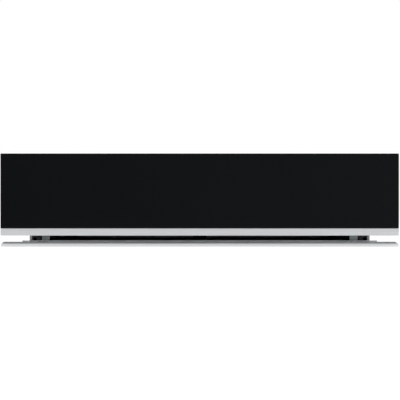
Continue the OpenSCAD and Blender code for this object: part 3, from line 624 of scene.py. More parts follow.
def mottle(batch: Batch, size_mm: float, detail: float,
           stretch: tuple[float, float, float] = (1, 1, 1)) -> Any:
    """Soft random patches of a real size, stretched along the axes by those factors.

    Args:
        batch: the material in the making.
        size_mm: the size of a feature.
        detail: octaves of finer noise.
        stretch: how many times longer a feature is along X, Y and Z.

    Returns:
        The pattern's socket, between 0 and 1.
    """
    mapping = add_node(batch.tree, "ShaderNodeMapping", {"Scale": tuple(1 / s for s in stretch)},
                       {"Vector": batch.place})
    return add_node(batch.tree, "ShaderNodeTexNoise", {"Scale": per_metre(size_mm), "Detail": detail},
                    {"Vector": mapping.outputs["Vector"]}).outputs["Fac"]


@dataclass(frozen=True)
class BrushedSteel(Finish):
    """Stainless sheet, ground with a belt: fine parallel lines that draw highlights out across them.

    Attributes:
        stretch: how many times longer a line is than wide, along X, Y and Z.
        line_mm: spacing of the lines. Real ones lie 0.1 mm apart, too fine to show, so they are coarser.
        drawn_out: how far highlights are drawn out across the lines.
    """

    stretch: tuple[float, float, float] = (60, 1, 1)
    line_mm: float = 0.8
    drawn_out: float = 0.4
    swing: float = 0.08
    strength: float = 0.3

    def pattern(self, batch: Batch) -> None:
        """Long thin noise along the grain, for colour, roughness and relief.

        Args:
            batch: the material in the making.
        """
        lines = mottle(batch, self.line_mm, detail=2, stretch=self.stretch)
        self.tint(batch, lines, SOFT)
        self.emboss(batch, lines)
        batch.shader.inputs["Anisotropic"].default_value = self.drawn_out


@dataclass(frozen=True)
class SpangledZinc(Finish):
    """Hot-dip galvanised sheet: zinc crystals a few millimetres wide, each a little lighter or darker.

    Attributes:
        crystal_mm: width of a crystal.
        wave_mm: length of the waves in a crystal's edge.
        bend: how far those waves draw the edge, as a share.
    """

    crystal_mm: float = 7.0
    wave_mm: float = 4.0
    bend: float = 0.002
    swing: float = 0.1

    def pattern(self, batch: Batch) -> None:
        """A cell pattern with bent cell walls, one tone to each cell.

        Args:
            batch: the material in the making.
        """
        wave = add_node(batch.tree, "ShaderNodeTexNoise", {"Scale": per_metre(self.wave_mm), "Detail": 2.0},
                        {"Vector": batch.place})
        bent = add_node(batch.tree, "ShaderNodeMix", {"data_type": "VECTOR", 0: self.bend},
                        {4: batch.place, 5: wave.outputs["Color"]})
        cells = add_node(batch.tree, "ShaderNodeTexVoronoi", {"Scale": per_metre(self.crystal_mm)},
                         {"Vector": bent.outputs[1]})
        tone = add_node(batch.tree, "ShaderNodeSeparateColor", None, {"Color": cells.outputs["Color"]})
        self.tint(batch, tone.outputs["Red"])


@dataclass(frozen=True)
class Mottled(Finish):
    """A finish with soft patches of colour over a fine grain, each of its own real size.

    Attributes:
        patch_mm: size of a patch.
        patch_detail: octaves of finer noise in the patches.
        spread: the noise's value that leaves the colour as it is, and the one that gives the shade.
        grain_mm: size of the grain.
        grain_detail: octaves of finer noise in the grain.
        grain_stretch: how many times longer the grain is along X, Y and Z.
    """

    patch_mm: float = 9.0
    patch_detail: float = 3.0
    spread: tuple[float, float] = SOFT
    grain_mm: float = 0.7
    grain_detail: float = 2.0
    grain_stretch: tuple[float, float, float] = (1, 1, 1)

    def pattern(self, batch: Batch) -> None:
        """Patches for colour and roughness, and grain for relief."""
        self.tint(batch, mottle(batch, self.patch_mm, self.patch_detail), self.spread)
        self.emboss(batch, mottle(batch, self.grain_mm, self.grain_detail, self.grain_stretch))


@dataclass(frozen=True)
class PlatedMetal(Mottled):
    """Plated, ground or cast metal: even, with faint clouds and fine scratches."""

    patch_mm: float = 22.0
    patch_detail: float = 4.0
    spread: tuple[float, float] = CRISP
    grain_mm: float = 0.6
    grain_stretch: tuple[float, float, float] = (1, 6, 1)
    swing: float = 0.1
    strength: float = 0.25


@dataclass(frozen=True)
class PowderCoat(Mottled):
    """Baked powder coat: a fine orange peel that breaks up the highlights, in a faintly clouded colour."""

    patch_mm: float = 30.0
    spread: tuple[float, float] = CRISP
    grain_mm: float = 1.6
    grain_detail: float = 1.0
    swing: float = 0.08
    depth_mm: float = 0.06
    strength: float = 0.5


@dataclass(frozen=True)
class MouldedPlastic(Mottled):
    """Injection-moulded plastic or rubber: an eroded mould's fine grain, and a trace of colour drift."""

    swing: float = 0.06
    depth_mm: float = 0.03
    strength: float = 0.5


@dataclass(frozen=True)
class HeatTinted(Mottled):
    """Heater sheath: nickel steel, greyed and straw-tinted in patches by its own heat, under a dry scale."""

    patch_mm: float = 18.0
    patch_detail: float = 4.0
    spread: tuple[float, float] = CRISP
    grain_mm: float = 0.8
    grain_detail: float = 3.0
    swing: float = 0.2
    depth_mm: float = 0.05
    strength: float = 0.5


@dataclass(frozen=True)
class BackedGlass(Mottled):
    """Clear toughened glass with a black enamel fired on its back: deep black with a sharp, cool gloss.

    Its grain is the waviness that floating left in the glass, far under what bends a reflection.

    Attributes:
        ior: refractive index of the glass.
    """

    patch_mm: float = 90.0
    patch_detail: float = 2.0
    grain_mm: float = 60.0
    grain_detail: float = 1.0
    ior: float = 1.5
    depth_mm: float = 0.01
    strength: float = 0.1

    def pattern(self, batch: Batch) -> None:
        """The enamel's drift and the glass's waviness, and how the glass bends light."""
        super().pattern(batch)
        batch.shader.inputs["IOR"].default_value = self.ior


@dataclass(frozen=True)
class LampLens(Mottled):
    """Clear amber polycarbonate, frosted inside: it gathers light at its rim.

    Attributes:
        ior: refractive index of the plastic.
        clearness: share of the light that it lets through.
    """

    patch_mm: float = 2.5
    patch_detail: float = 2.0
    grain_mm: float = 0.5
    ior: float = 1.58
    clearness: float = 0.3
    depth_mm: float = 0.03
    strength: float = 0.4

    def pattern(self, batch: Batch) -> None:
        """Clouded colour and fine frosting, and some light let through.

        Args:
            batch: the material in the making.
        """
        super().pattern(batch)
        batch.shader.inputs["IOR"].default_value = self.ior
        batch.shader.inputs["Transmission Weight"].default_value = self.clearness


@dataclass(frozen=True)
class CreasedFoil(Finish):
    """Aluminium foil glued round a batt of glass wool: flat facets between creases, over soft tufts.

    Attributes:
        facet_mm: width of a facet.
        tuft_mm: size of a tuft.
        tuft_share: how much the tufts raise the foil against its creases.
    """

    facet_mm: float = 11.0
    tuft_mm: float = 5.0
    tuft_share: float = 0.4
    swing: float = 0.1
    depth_mm: float = 0.5
    strength: float = 0.8

    def pattern(self, batch: Batch) -> None:
        """Cells whose walls are the creases, with noise for the wool behind the foil.

        Args:
            batch: the material in the making.
        """
        tufts = mottle(batch, self.tuft_mm, detail=3)
        cells = add_node(batch.tree, "ShaderNodeTexVoronoi", {"Scale": per_metre(self.facet_mm)},
                         {"Vector": batch.place})
        both = add_node(batch.tree, "ShaderNodeMath", {"operation": "MULTIPLY_ADD", 1: self.tuft_share},
                        {0: tufts, 2: cells.outputs["Distance"]})
        self.tint(batch, tufts, SOFT)
        self.emboss(batch, both.outputs[0])


@dataclass(frozen=True)
class Banded(Finish):
    """Metal built up in layers: enamelled wire turns or stacked laminations.

    Attributes:
        pitch_mm: spacing of the layers.
        along: the axis that the layers follow each other on.
        unevenness: how far the layers wander.
    """

    pitch_mm: float = 1.0
    along: Axis = Axis.Y
    unevenness: float = 0.6
    swing: float = 0.1
    depth_mm: float = 0.15
    strength: float = 0.6

    def pattern(self, batch: Batch) -> None:
        """A wave across the layers, for colour and relief.

        Args:
            batch: the material in the making.
        """
        bands = add_node(batch.tree, "ShaderNodeTexWave",
                         {"bands_direction": self.along.name, "Detail": 1.0, "Distortion": self.unevenness,
                          "Scale": per_metre(self.pitch_mm) / WAVE_RATE * 2 * math.pi},
                         {"Vector": batch.place}).outputs["Fac"]
        self.tint(batch, bands)
        self.emboss(batch, bands)


class Palette:
    """The object's finishes, each named for its material and how its surface was made, or for the painted
    light or shade in its colour.
    """

    black_glass = BackedGlass("enamelled_black_glass", "black_glass", "0b0c0e", "0d0e10", 0.04)
    satin_steel = BrushedSteel("satin_ground_steel", "satin_steel", "dfe1e2", "d3d5d7", 0.42, 1.0,
                               stretch=(90, 12, 1), line_mm=0.9)
    ground_trim = BrushedSteel("satin_ground_trim", "satin_steel", "dfe1e2", "d3d5d7", 0.36, 1.0,
                               stretch=(90, 12, 1), line_mm=0.9)
    stainless = BrushedSteel("brushed_stainless_sheet", "stainless", "c9cac9", "b9bab9", 0.34, 1.0,
                             stretch=(1, 60, 1), line_mm=1.1)
    # painted shade: the housing's zinc is darkened to stand in for the shade that falls on its flanges under
    # the front
    galvanised = SpangledZinc("galvanised_darkened_for_shade", "galvanised", "a9acaf", "9a9ea1", 0.44, 1.0)
    # painted light: the same zinc lightened to stand in for the light that the base pan's front lip catches
    fresh_zinc = SpangledZinc("galvanised_lightened_for_light", "galvanised", "cfd2d4", "c3c6c9", 0.44, 1.0)
    zinc_plated = PlatedMetal("bright_zinc_plating", "zinc_plated", "c4c6c8", "b2b5b9", 0.3, 1.0)
    # painted shade: the rails' bright zinc plating is darkened to stand in for the shade in the recess under
    # the front
    passivated_zinc = PlatedMetal("passivated_zinc_rail", "zinc_plated", "7f8486", "74797b", 0.36, 1.0)
    black_paint = PowderCoat("black_powder_coat", "black_paint", "17181a", "1c1d1f", 0.5)
    foiled_wool = CreasedFoil("foil_faced_glass_wool", "glass_wool", "c6c8ca", "b4b6b8", 0.32, 1.0)
    black_rubber = MouldedPlastic("moulded_silicone_rubber", "black_rubber", "3a3c3f", "424447", 0.62,
                                  grain_mm=0.9)
    bearing_steel = PlatedMetal("ground_bearing_steel", "bearing_steel", "b9bbbd", "a9abae", 0.2, 1.0,
                                patch_mm=12, grain_mm=0.5)
    heater_sheath = HeatTinted("heat_tinted_sheath", "heater_sheath", "6f6b64", "57514b", 0.5, 1.0)
    laminated_iron = Banded("stacked_laminations", "laminated_iron", "6c6e70", "4b4d4f", 0.45, 1.0)
    copper_winding = Banded("enamelled_copper_wire", "copper_winding", "b0623a", "7d3d20", 0.3, 1.0,
                            pitch_mm=0.9, along=Axis.Z)
    sintered_bronze = PlatedMetal("sintered_bronze", "sintered_bronze", "a9803f", "8a652c", 0.5, 1.0,
                                  patch_mm=1.2, grain_mm=0.5)
    ivory_plastic = MouldedPlastic("ivory_thermoset", "ivory_plastic", "ddd6c2", "d3cbb5", 0.5)
    black_plastic = MouldedPlastic("moulded_black_nylon", "black_plastic", "1b1c1e", "222325", 0.45)
    white_plastic = MouldedPlastic("moulded_white_acetal", "white_plastic", "e4e4df", "dadad4", 0.35)
    amber_lens = LampLens("frosted_amber_lens", "amber_lens", "e08a1a", "c46f0c", 0.15)
    light_alloy = PlatedMetal("pressed_aluminium", "light_alloy", "cfd1d3", "bfc1c4", 0.35, 1.0)
    cable_sheath = MouldedPlastic("glass_braid_sleeve", "cable_sheath", "232427", "303136", 0.6,
                                  grain_mm=0.8, depth_mm=0.08)
    spring_steel = PlatedMetal("patented_spring_wire", "spring_steel", "9a9b9c", "858688", 0.28, 1.0,
                               patch_mm=6, grain_mm=0.4)
    white_print = MouldedPlastic("white_pad_print", "white_plastic", "d9dbdc", "d2d4d5", 0.5,
                                 grain_mm=1.2, depth_mm=0.005)

    @classmethod
    def by_slot(cls) -> dict[str, Finish]:
        """The finish of each of the record's material slots."""
        finishes = [f for f in vars(cls).values() if isinstance(f, Finish)]
        return {f.slot: f for f in reversed(finishes)}


@dataclass
class SubAssembly:
    """A group of pieces that are built and dressed together."""

    def build(self) -> None:
        """Makes the group's pieces."""
        raise NotImplementedError

    def dress(self, piece: bpy.types.Object, body: str, finishes: list[Finish],
              nodes: list[str]) -> bpy.types.Object:
        """Finishes a piece and ties it to the frame.

        Its flat faces are shaded flat up to the rounding at their edges.

        Args:
            piece: the piece's object.
            body: the body that it rides on.
            finishes: its finishes, in the order that its faces number them.
            nodes: the CAD nodes that it stands for.

        Returns:
            The piece.
        """
        for finish in finishes:
            piece.data.materials.append(finish.material)
        shading = piece.modifiers.new("flat_shading", "WEIGHTED_NORMAL")
        shading.keep_sharp, shading.weight = True, FLAT_WEIGHT
        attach(piece, body)
        if nodes:
            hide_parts(*nodes)
        LOG.info("%s: %d faces on %s", piece.name, len(piece.data.polygons), body)
        return piece


# ---------- fixings ----------
@dataclass(frozen=True)
class Fixing:
    """A pan-head screw or a domed rivet.

    Attributes:
        head_h: height of the head.
        shank_r: radius of the shank.
        foot_r: radius of the shank's far end, wider where a rivet is closed.
        foot_h: height of that far end.
        recess: depth of the cross recess, 0 for a rivet.
        crown: share of the head's height that its dome falls by at the rim.
        arm: half the width of the cross's arms, as a share of the head's radius.
        reach: length of the arms, as a share of the head's radius.
        rows: where the head's rows of points lie, as shares of its radius, close together at the cross.
        sides: points round it.
    """

    head_h: float
    shank_r: float
    foot_r: float
    foot_h: float
    recess: float = 0.0
    crown: float = 0.45
    arm: float = 0.1
    reach: float = 0.55
    rows: tuple[float, ...] = (1.0, 0.9, 0.75, 0.58, 0.5, 0.36, 0.24, 0.14, 0.07, 0.0)
    sides: int = 32

    def fill(self, box: Box, axis: int, sign: float) -> Array:
        """The fixing's surface in the box of the solid that it stands for.

        The head's top is a dome, h (1 - crown s^4) for the share s of its radius. The recess lowers it where
        the point lies on either arm of the cross.

        Args:
            box: the solid's box.
            axis: 0, 1 or 2 for the axis along the shank.
            sign: which way the head points.

        Returns:
            Rows of points from the shank's end to the top of the head.
        """
        angle = np.linspace(0, 2 * math.pi, self.sides, endpoint=False)
        out = np.eye(3)[axis] * sign
        length = box.size[axis] - self.head_h
        head_r = np.delete(box.size, axis).max() / 2
        seat = box.middle + out * (box.size[axis] / 2 - self.head_h)
        share = np.array(self.rows)
        dome = self.head_h * (1 - self.crown * share**4)
        off_arm = np.abs(np.stack([np.cos(angle), np.sin(angle)])).min(axis=0) * share[:, None]
        top = dome[:, None] - self.recess * ((off_arm < self.arm) & (share[:, None] < self.reach))
        low = np.array([-length, -length, self.foot_h - length, 0, 0])
        low_r = np.array([0, self.foot_r, self.shank_r, self.shank_r, head_r])
        height = np.concatenate([np.repeat(low[:, None], self.sides, axis=1), top])
        return turned(seat, out, np.concatenate([low_r, share * head_r]), height, self.sides)


@dataclass
class Fixings(SubAssembly):
    """Every screw and rivet of the part, each in the place of its own solid.

    Attributes:
        screw: a pan-head screw with a cross recess.
        rivet: a rivet with a head at both ends.
        flush_rivet: a rivet whose inner end is sunk into the rail.
    """

    screw: Fixing = Fixing(1.6 * MM, 1.75 * MM, 1.75 * MM, 0.2 * MM, 0.8 * MM)
    rivet: Fixing = Fixing(1.0 * MM, 2.0 * MM, 3.2 * MM, 1.0 * MM)
    flush_rivet: Fixing = Fixing(1.0 * MM, 2.0 * MM, 3.0 * MM, 1.0 * MM)

    def build(self) -> None:
        """Makes each node's screws or rivets one piece."""
        for node in ("housing_screws", "motor_screws", "runner_rivets", "drawer_screws"):
            surface = Surface()
            for box in solids(node):
                axis = int(np.argmax(np.abs(box.size - np.median(box.size))))
                sign = (np.sign(box.middle[0]), 1.0, -1.0)[axis]    # heads look outwards, back and down
                surface.grid(self.pick(node, axis).fill(box, axis, sign), caps=False)
            piece = surface.mesh(node.replace("screws", "screw_set").replace("rivets", "rivet_set"))
            self.dress(piece, BODY_OF[node], [Palette.zinc_plated], [node])

    def pick(self, node: str, axis: int) -> Fixing:
        """The kind of fixing at a place.

        Args:
            node: the node that it is in.
            axis: 0, 1 or 2 for the axis along its shank.

        Returns:
            The fixing.
        """
        if node == "runner_rivets":
            return self.flush_rivet
        return self.rivet if node == "drawer_screws" and axis != Axis.Y.index else self.screw


# ---------- front ----------
@dataclass
class FrontPanel(SubAssembly):
    """The front: a black glass pane over a satin steel strip, both on a folded steel carrier.

    Attributes:
        glass_corner: radius of the pane's corners.
        glass_edge: radius of the pane's ground edges.
        strip_corner: radius of the strip's corners.
        strip_edge: radius of the strip's edges.
    """

    glass_corner: float = 1.2 * MM
    glass_edge: float = 0.4 * MM
    strip_corner: float = 1.0 * MM
    strip_edge: float = 0.5 * MM

    def build(self) -> None:
        """Makes the pane and the strip, whose faces that look down are painted black as painted shade."""
        glass = eased_slab(Box.of("front_glass"), Axis.Y, self.glass_corner, self.glass_edge)
        pane = Surface().grid(glass).mesh("glass_pane")
        self.dress(pane, "drawer", [Palette.black_glass], ["front_glass"])
        strip = eased_slab(Box.of("front_strip"), Axis.Y, self.strip_corner, self.strip_edge)
        piece = Surface().grid(strip).mesh("satin_strip")
        # painted shade: the strip's underside is painted black to stand in for the shade under the front
        self.paint_below(piece)
        self.dress(piece, "drawer", [Palette.satin_steel, Palette.black_paint], ["front_strip"])

    @staticmethod
    def paint_below(piece: bpy.types.Object) -> None:
        """Paints the faces that look straight down with the piece's second finish, black, as painted shade
        under the front.

        Args:
            piece: the piece's object.
        """
        normals = np.empty(3 * len(piece.data.polygons))
        piece.data.polygons.foreach_get("normal", normals)
        piece.data.polygons.foreach_set("material_index", (normals[2::3] < -UPRIGHT).astype(np.int32))


# ---------- drawer ----------
@dataclass
class Drawer(SubAssembly):
    """The stainless drawer and the rubber mat on its floor.

    Attributes:
        sheet: thickness of the drawer's sheet.
        floor_bend: radius of the fold between floor and sides.
        rim_bend: radius of the folds along the rim.
        rim_fold: width of the rim.
        rim_return: height of the rim's turned-down edge.
        front_corner: radius of the inner front's corners.
        front_edge: radius of its edges.
        mat_corner: radius of the mat's corners.
        mat_edge: radius of the mat's edge.
        dot_pitch: spacing of the mat's dots.
        dot_r: radius of a dot.
        dot_h: height of a dot.
        dot_margin: bare width along the mat's edge.
        dot_rows: where a dot's rows of points lie, as shares of its radius.
        dot_sides: points round a dot.
        stagger: how far every other row of dots is moved along, in pitches.
    """

    sheet: float = 1.0 * MM
    floor_bend: float = 3.0 * MM
    rim_bend: float = 1.3 * MM
    rim_fold: float = 7.0 * MM
    rim_return: float = 3.6 * MM
    front_corner: float = 2.5 * MM
    front_edge: float = 0.3 * MM
    mat_corner: float = 6.0 * MM
    mat_edge: float = 0.6 * MM
    dot_pitch: float = 16.0 * MM
    dot_r: float = 4.2 * MM
    dot_h: float = 1.5 * MM
    dot_margin: float = 11.0 * MM
    dot_rows: tuple[float, ...] = (1.0, 0.8, 0.45, 0.0)
    dot_sides: int = 10
    stagger: float = 0.5

    def build(self) -> None:
        """Makes the tray, the inner front and the mat."""
        self.tray()
        self.inner_front()
        self.mat()

    def tray(self) -> None:
        """The tray: one sheet, folded up at both sides, in along the rim and down again at its edge."""
        box = Box.of("drawer_tray")
        half = self.sheet / 2
        side, low, high = box.high[0] - half, box.low[2] + half, box.high[2] - half
        edge = box.high[0] - self.rim_fold
        right = [(side, low), (side, high), (edge, high), (edge, high - self.rim_return)]
        left = [(-u, v) for u, v in right[::-1]]
        bends = [self.rim_bend] * 2 + [self.floor_bend] * 2 + [self.rim_bend] * 2
        section = folded(left + right, self.sheet, bends)
        tray = Surface().outline(section, box.low[1], box.high[1], Axis.Y)
        self.dress(tray.mesh("steel_tray"), "drawer", [Palette.stainless], ["drawer_tray"])

    def inner_front(self) -> None:
        """The drawer's front wall, with rounded corners and a soft edge."""
        slab = eased_slab(Box.of("drawer_inner_front"), Axis.Y, self.front_corner, self.front_edge)
        wall = Surface().grid(slab).mesh("inner_front")
        self.dress(wall, "drawer", [Palette.stainless], ["drawer_inner_front"])

    def mat(self) -> None:
        """The mat: a thin slab with low domed dots in staggered rows, each equally far from six others.

        A dot's height is h (1 - s^2) for the share s of its radius, on a base sunk into the slab.
        """
        box = Box.of("anti_slip_mat")
        slab = eased_slab(box, Axis.Z, self.mat_corner, self.mat_edge)
        share = np.array(self.dot_rows)
        dome = self.dot_h * (1 - share**2)
        dome[0] = -self.mat_edge
        dot = turned(np.zeros(3), np.array(Axis.Z.value), share * self.dot_r, dome, self.dot_sides)
        row_pitch = self.dot_pitch * math.sin(math.pi / 3)
        span = box.size[:2] / 2 - self.dot_margin
        columns, rows = (2 * span / (self.dot_pitch, row_pitch)).astype(int)
        i, j = np.meshgrid(np.arange(columns + 1), np.arange(rows + 1))
        x = (i + self.stagger * (j % 2) - columns / 2 - self.stagger / 2) * self.dot_pitch
        y = (j - rows / 2) * row_pitch
        spots = np.stack([x.ravel(), y.ravel(), np.zeros(x.size)], axis=1) + [*box.middle[:2], box.high[2]]
        spots = spots[np.abs(spots[:, 0] - box.middle[0]) < span[0]]
        mat = Surface().grid(slab).copies(dot, spots).mesh("dotted_mat")
        self.dress(mat, "drawer", [Palette.black_rubber], ["anti_slip_mat"])


# ---------- runners ----------
@dataclass
class Runners(SubAssembly):
    """The two telescopic runners: cold-rolled rails with round raceways.

    Attributes:
        sheet: thickness of the rails' steel.
        raceway: radius of a rail's rolled corners.
        lip_raceway: radius of the outer rail's rolled corners.
        lip: height of the outer rail's retaining lips.
        rail_depth: depth of the drawer's rail.
        rail_step: how much lower the drawer's rail is than the middle rail, above and below.
        tab: thickness of the plate at the front of the drawer's rail.
        tab_corner: radius of the plate's corners.
        tab_edge: radius of the plate's edges.
    """

    sheet: float = 1.0 * MM
    raceway: float = 1.5 * MM
    lip_raceway: float = 1.05 * MM
    lip: float = 2.2 * MM
    rail_depth: float = 8.1 * MM
    rail_step: float = 4.7 * MM
    tab: float = 1.5 * MM
    tab_corner: float = 1.6 * MM
    tab_edge: float = 0.6 * MM

    def build(self) -> None:
        """Makes the three rails of each side."""
        for side, word in zip(SIDES, ("left", "right")):
            self.rail(f"runner_fixed_{word}", side, self.lip)
            self.rail(f"runner_middle_{word}", side, 0)
            self.drawer_rail(f"runner_inner_{word}", side)

    def section(self, box: Box, side: int, lip: float, web: int) -> Array:
        """A channel's section.

        Args:
            box: the channel's box.
            side: -1 on the left and 1 on the right.
            lip: height of its retaining lips, 0 for none.
            web: 1 where its web is away from the drawer and -1 where it is next to it.

        Returns:
            The closed outline, (x, z).
        """
        half = self.sheet / 2
        outer = side * web > 0
        closed, opened = (box.high[0] - half, box.low[0]) if outer else (box.low[0] + half, box.high[0])
        low, high = box.low[2] + half, box.high[2] - half
        line = [(opened, low), (closed, low), (closed, high), (opened, high)]
        if lip:
            edge = opened + math.copysign(half, closed - opened)
            line = [(edge, low + lip - half), (edge, low), *line[1:3], (edge, high),
                    (edge, high - lip + half)]
        return folded(line, self.sheet, self.lip_raceway if lip else self.raceway)

    def rail(self, node: str, side: int, lip: float) -> None:
        """The outer or the middle rail.

        Args:
            node: the rail's node.
            side: -1 on the left and 1 on the right.
            lip: height of its retaining lips, 0 for none.
        """
        box = Box.of(node)
        rail = Surface().outline(self.section(box, side, lip, 1), box.low[1], box.high[1], Axis.Y)
        piece = rail.mesh(node.replace("runner", "rail"))
        # the rail wears zinc darkened as painted shade
        self.dress(piece, BODY_OF[node], [Palette.passivated_zinc], [node])

    def drawer_rail(self, node: str, side: int) -> None:
        """The rail on the drawer, with the plate at its front that the front is screwed to.

        Args:
            node: the rail's node.
            side: -1 on the left and 1 on the right.
        """
        whole, middle = Box.of(node), Box.of(node.replace("inner", "middle"))
        wall = side * Box.of("drawer_tray").high[0]
        web, rim = sorted((wall, wall + side * self.rail_depth))
        low = np.array([web, whole.low[1], middle.low[2] + self.rail_step])
        high = np.array([rim, whole.high[1], middle.high[2] - self.rail_step])
        rail = Surface().outline(self.section(Box(low, high), side, 0, -1), low[1], high[1], Axis.Y)
        plate_end = np.array([whole.high[0], whole.low[1] + self.tab, whole.high[2]])
        rail.grid(eased_slab(Box(whole.low, plate_end), Axis.Y, self.tab_corner, self.tab_edge))
        piece = rail.mesh(node.replace("runner", "rail"))
        # the rail wears zinc darkened as painted shade
        self.dress(piece, BODY_OF[node], [Palette.passivated_zinc], [node])


# ---------- controls ----------
@dataclass
class Controls(SubAssembly):
    """The knob, the button and the lamp on the right of the front frame.

    Attributes:
        flutes: grooves round the knob's grip.
        flute: share of the grip's radius that a groove takes.
        flute_power: power that makes the grooves narrower than the ridges between them.
        skirt_h: height of the knob's numbered skirt.
        skirt_gap: gap between the skirt and the frame.
        grip_share: radius of the grip against the skirt's.
        grip_rows: rows over the grip's end: share of its radius, depth below its face in radii of its
            rim, and whether the row is fluted.
        knob_sides: points round the knob.
        spindle_r: radius of the knob's spindle sleeve.
        ease: radius of the knob's and the button's rims.
        digit_h: height of a digit.
        digit_steps: points on each curve of a digit.
        print_h: thickness of the print.
        print_ease: radius of a printed bar's edges, in thicknesses of print.
        dial_top: the highest number on the dial.
        turn: how far the knob turns, in degrees.
        pointer_from: where the pointer starts, as a share of the grip's radius.
        pointer_to: where it ends, likewise.
        pointer_sink: how far it goes below the grip's face, in radii of its rim.
        mark_w: width of the pointer and of the index mark.
        mark_round: radius of their corners, as a share of that width.
        mark_sink: how far the index mark goes into the frame, in thicknesses of print.
        mark_len: length of the index mark.
        mark_gap: gap between the knob and the index mark.
        button_r: radius of the button's cap.
        button_dish: depth of the dish in the cap.
        lamp_r: radius of the lamp's lens.
        lamp_ease: radius of the lens's rim.
        lamp_crown: height of the lens's crown.
        collar_gap: gap between the frame and the collars behind it.
        collar_t: thickness of a collar.
        stem_share: radius of a stem against its cap's.
        cap_sides: points round the button and the lamp.
        rim_rows: rows of points on their rims.
        crown_rows: rows of points on their faces.
    """

    flutes: int = 18
    flute: float = 0.1
    flute_power: int = 3
    skirt_h: float = 1.6 * MM
    skirt_gap: float = 0.4 * MM
    grip_share: float = 0.66
    grip_rows: tuple[tuple[float, float, bool], ...] = (
        (0.96, 2.0, True), (0.9, 0.3, True), (0.8, 0.0, False), (0.4, 0.5, False), (0.0, 0.8, False))
    knob_sides: int = 144
    spindle_r: float = 3.0 * MM
    ease: float = 0.5 * MM
    digit_h: float = 2.6 * MM
    digit_steps: int = 3
    print_h: float = 0.06 * MM
    print_ease: float = 0.6
    dial_top: int = 5
    turn: float = 270.0
    pointer_from: float = 0.35
    pointer_to: float = 0.8
    pointer_sink: float = 3.0
    mark_w: float = 1.2 * MM
    mark_round: float = 0.45
    mark_sink: float = 2.0
    mark_len: float = 4.0 * MM
    mark_gap: float = 1.2 * MM
    button_r: float = 4.6 * MM
    button_dish: float = 0.3 * MM
    lamp_r: float = 3.0 * MM
    lamp_ease: float = 0.3 * MM
    lamp_crown: float = 0.6 * MM
    collar_gap: float = 0.4 * MM
    collar_t: float = 1.5 * MM
    stem_share: float = 0.65
    cap_sides: int = 48
    rim_rows: int = 5
    crown_rows: int = 4

    def build(self) -> None:
        """Makes the knob with its numbers, the index mark, the button and the lamp."""
        self.knob()
        self.index_mark()
        button = self.cap("power_button", self.button_r, self.ease, -self.button_dish)
        self.dress(button.mesh("button_cap"), "button", [Palette.white_plastic], ["power_button"])
        lamp = self.cap("pilot_lamp", self.lamp_r, self.lamp_ease, self.lamp_crown)
        self.dress(lamp.mesh("lamp_lens"), "housing", [Palette.amber_lens], ["pilot_lamp"])

    def knob(self) -> None:
        """The knob: a numbered skirt and a fluted grip, turned about Y.

        The grip's radius is R (1 - f |sin(n a / 2)|^p) for n flutes of depth f, and its end is dished.
        """
        box = Box.of("temperature_knob")
        radius, steps, ease = box.size[0] / 2, self.knob_sides, self.ease
        centre = box.axle
        rear, front = Box.of("front_frame").low[1] - self.skirt_gap, box.low[1]
        skirt, grip = rear - self.skirt_h, radius * self.grip_share
        angle = np.linspace(0, 2 * math.pi, steps, endpoint=False)
        flute = 1 - self.flute * np.abs(np.sin(self.flutes * angle / 2)) ** self.flute_power
        plain = np.ones(steps)
        rows = [(0, box.high[1], plain), (self.spindle_r, box.high[1], plain),
                (self.spindle_r, rear, plain), (radius - ease, rear, plain), (radius, rear - ease, plain),
                (radius, skirt + ease, plain), (radius - ease, skirt, plain), (grip + ease, skirt, plain),
                (grip, skirt - ease, flute)]
        rows += [(grip * share, front + depth * ease, flute if fluted else plain)
                 for share, depth, fluted in self.grip_rows]
        radii = np.array([r * shape for r, _, shape in rows])
        surface = Surface().grid(turned(centre, FORWARD, radii, -np.array([y for _, y, _ in rows]), steps),
                                 caps=False)
        low = np.array([centre[0] - self.mark_w / 2, front - self.print_h,
                        centre[2] + grip * self.pointer_from])
        high = np.array([centre[0] + self.mark_w / 2, front + self.pointer_sink * ease,
                         centre[2] + grip * self.pointer_to])
        surface.grid(self.bar(Box(low, high)), kind=1)
        self.digits(surface, centre + [0, skirt, 0], (radius + grip) / 2)
        self.dress(surface.mesh("dial_knob"), "knob", [Palette.black_plastic, Palette.white_print],
                   ["temperature_knob"])

    def bar(self, box: Box) -> Array:
        """A printed bar with round ends."""
        return eased_slab(box, Axis.Y, self.mark_round * self.mark_w, self.print_ease * self.print_h)

    def digits(self, surface: Surface, centre: Array, reach: float) -> None:
        """Prints plain numbers round the skirt, each upright when it is under the index mark.

        Number k stands turn k / top degrees before the top, so that turning the knob brings it up.

        Args:
            surface: the knob's surface, which takes the print.
            centre: where the knob's axis meets the skirt.
            reach: radius of the row of numbers.
        """
        for value in range(self.dial_top + 1):
            curve = bpy.data.curves.new("digit", "FONT")
            curve.body, curve.size = str(value), self.digit_h
            curve.align_x, curve.align_y = "CENTER", "CENTER"
            curve.extrude, curve.resolution_u = self.print_h, self.digit_steps
            text = add_object("digit", curve)
            bpy.context.view_layer.update()
            made = text.to_mesh()
            flat = np.array([v.co for v in made.vertices])
            faces = [[i + surface.count for i in p.vertices] for p in made.polygons]
            text.to_mesh_clear()
            bpy.data.objects.remove(text)
            angle = -math.radians(self.turn) * value / self.dial_top
            right = np.array([math.cos(angle), 0, -math.sin(angle)])
            up = np.array([math.sin(angle), 0, math.cos(angle)])
            points = flat[:, :1] * right + (flat[:, 1:2] + reach) * up + flat[:, 2:] * FORWARD
            surface.take(points + centre, faces, 1)

    def index_mark(self) -> None:
        """The fixed mark over the knob: a small printed bar on the frame."""
        knob, plate = Box.of("temperature_knob"), Box.of("front_frame").low[1]
        foot = knob.high[2] + self.mark_gap
        low = np.array([knob.middle[0] - self.mark_w / 2, plate - self.print_h, foot])
        high = np.array([knob.middle[0] + self.mark_w / 2, plate + self.mark_sink * self.print_h,
                         foot + self.mark_len])
        mark = Surface().grid(self.bar(Box(low, high))).mesh("index_mark")
        self.dress(mark, "housing", [Palette.white_print], [])

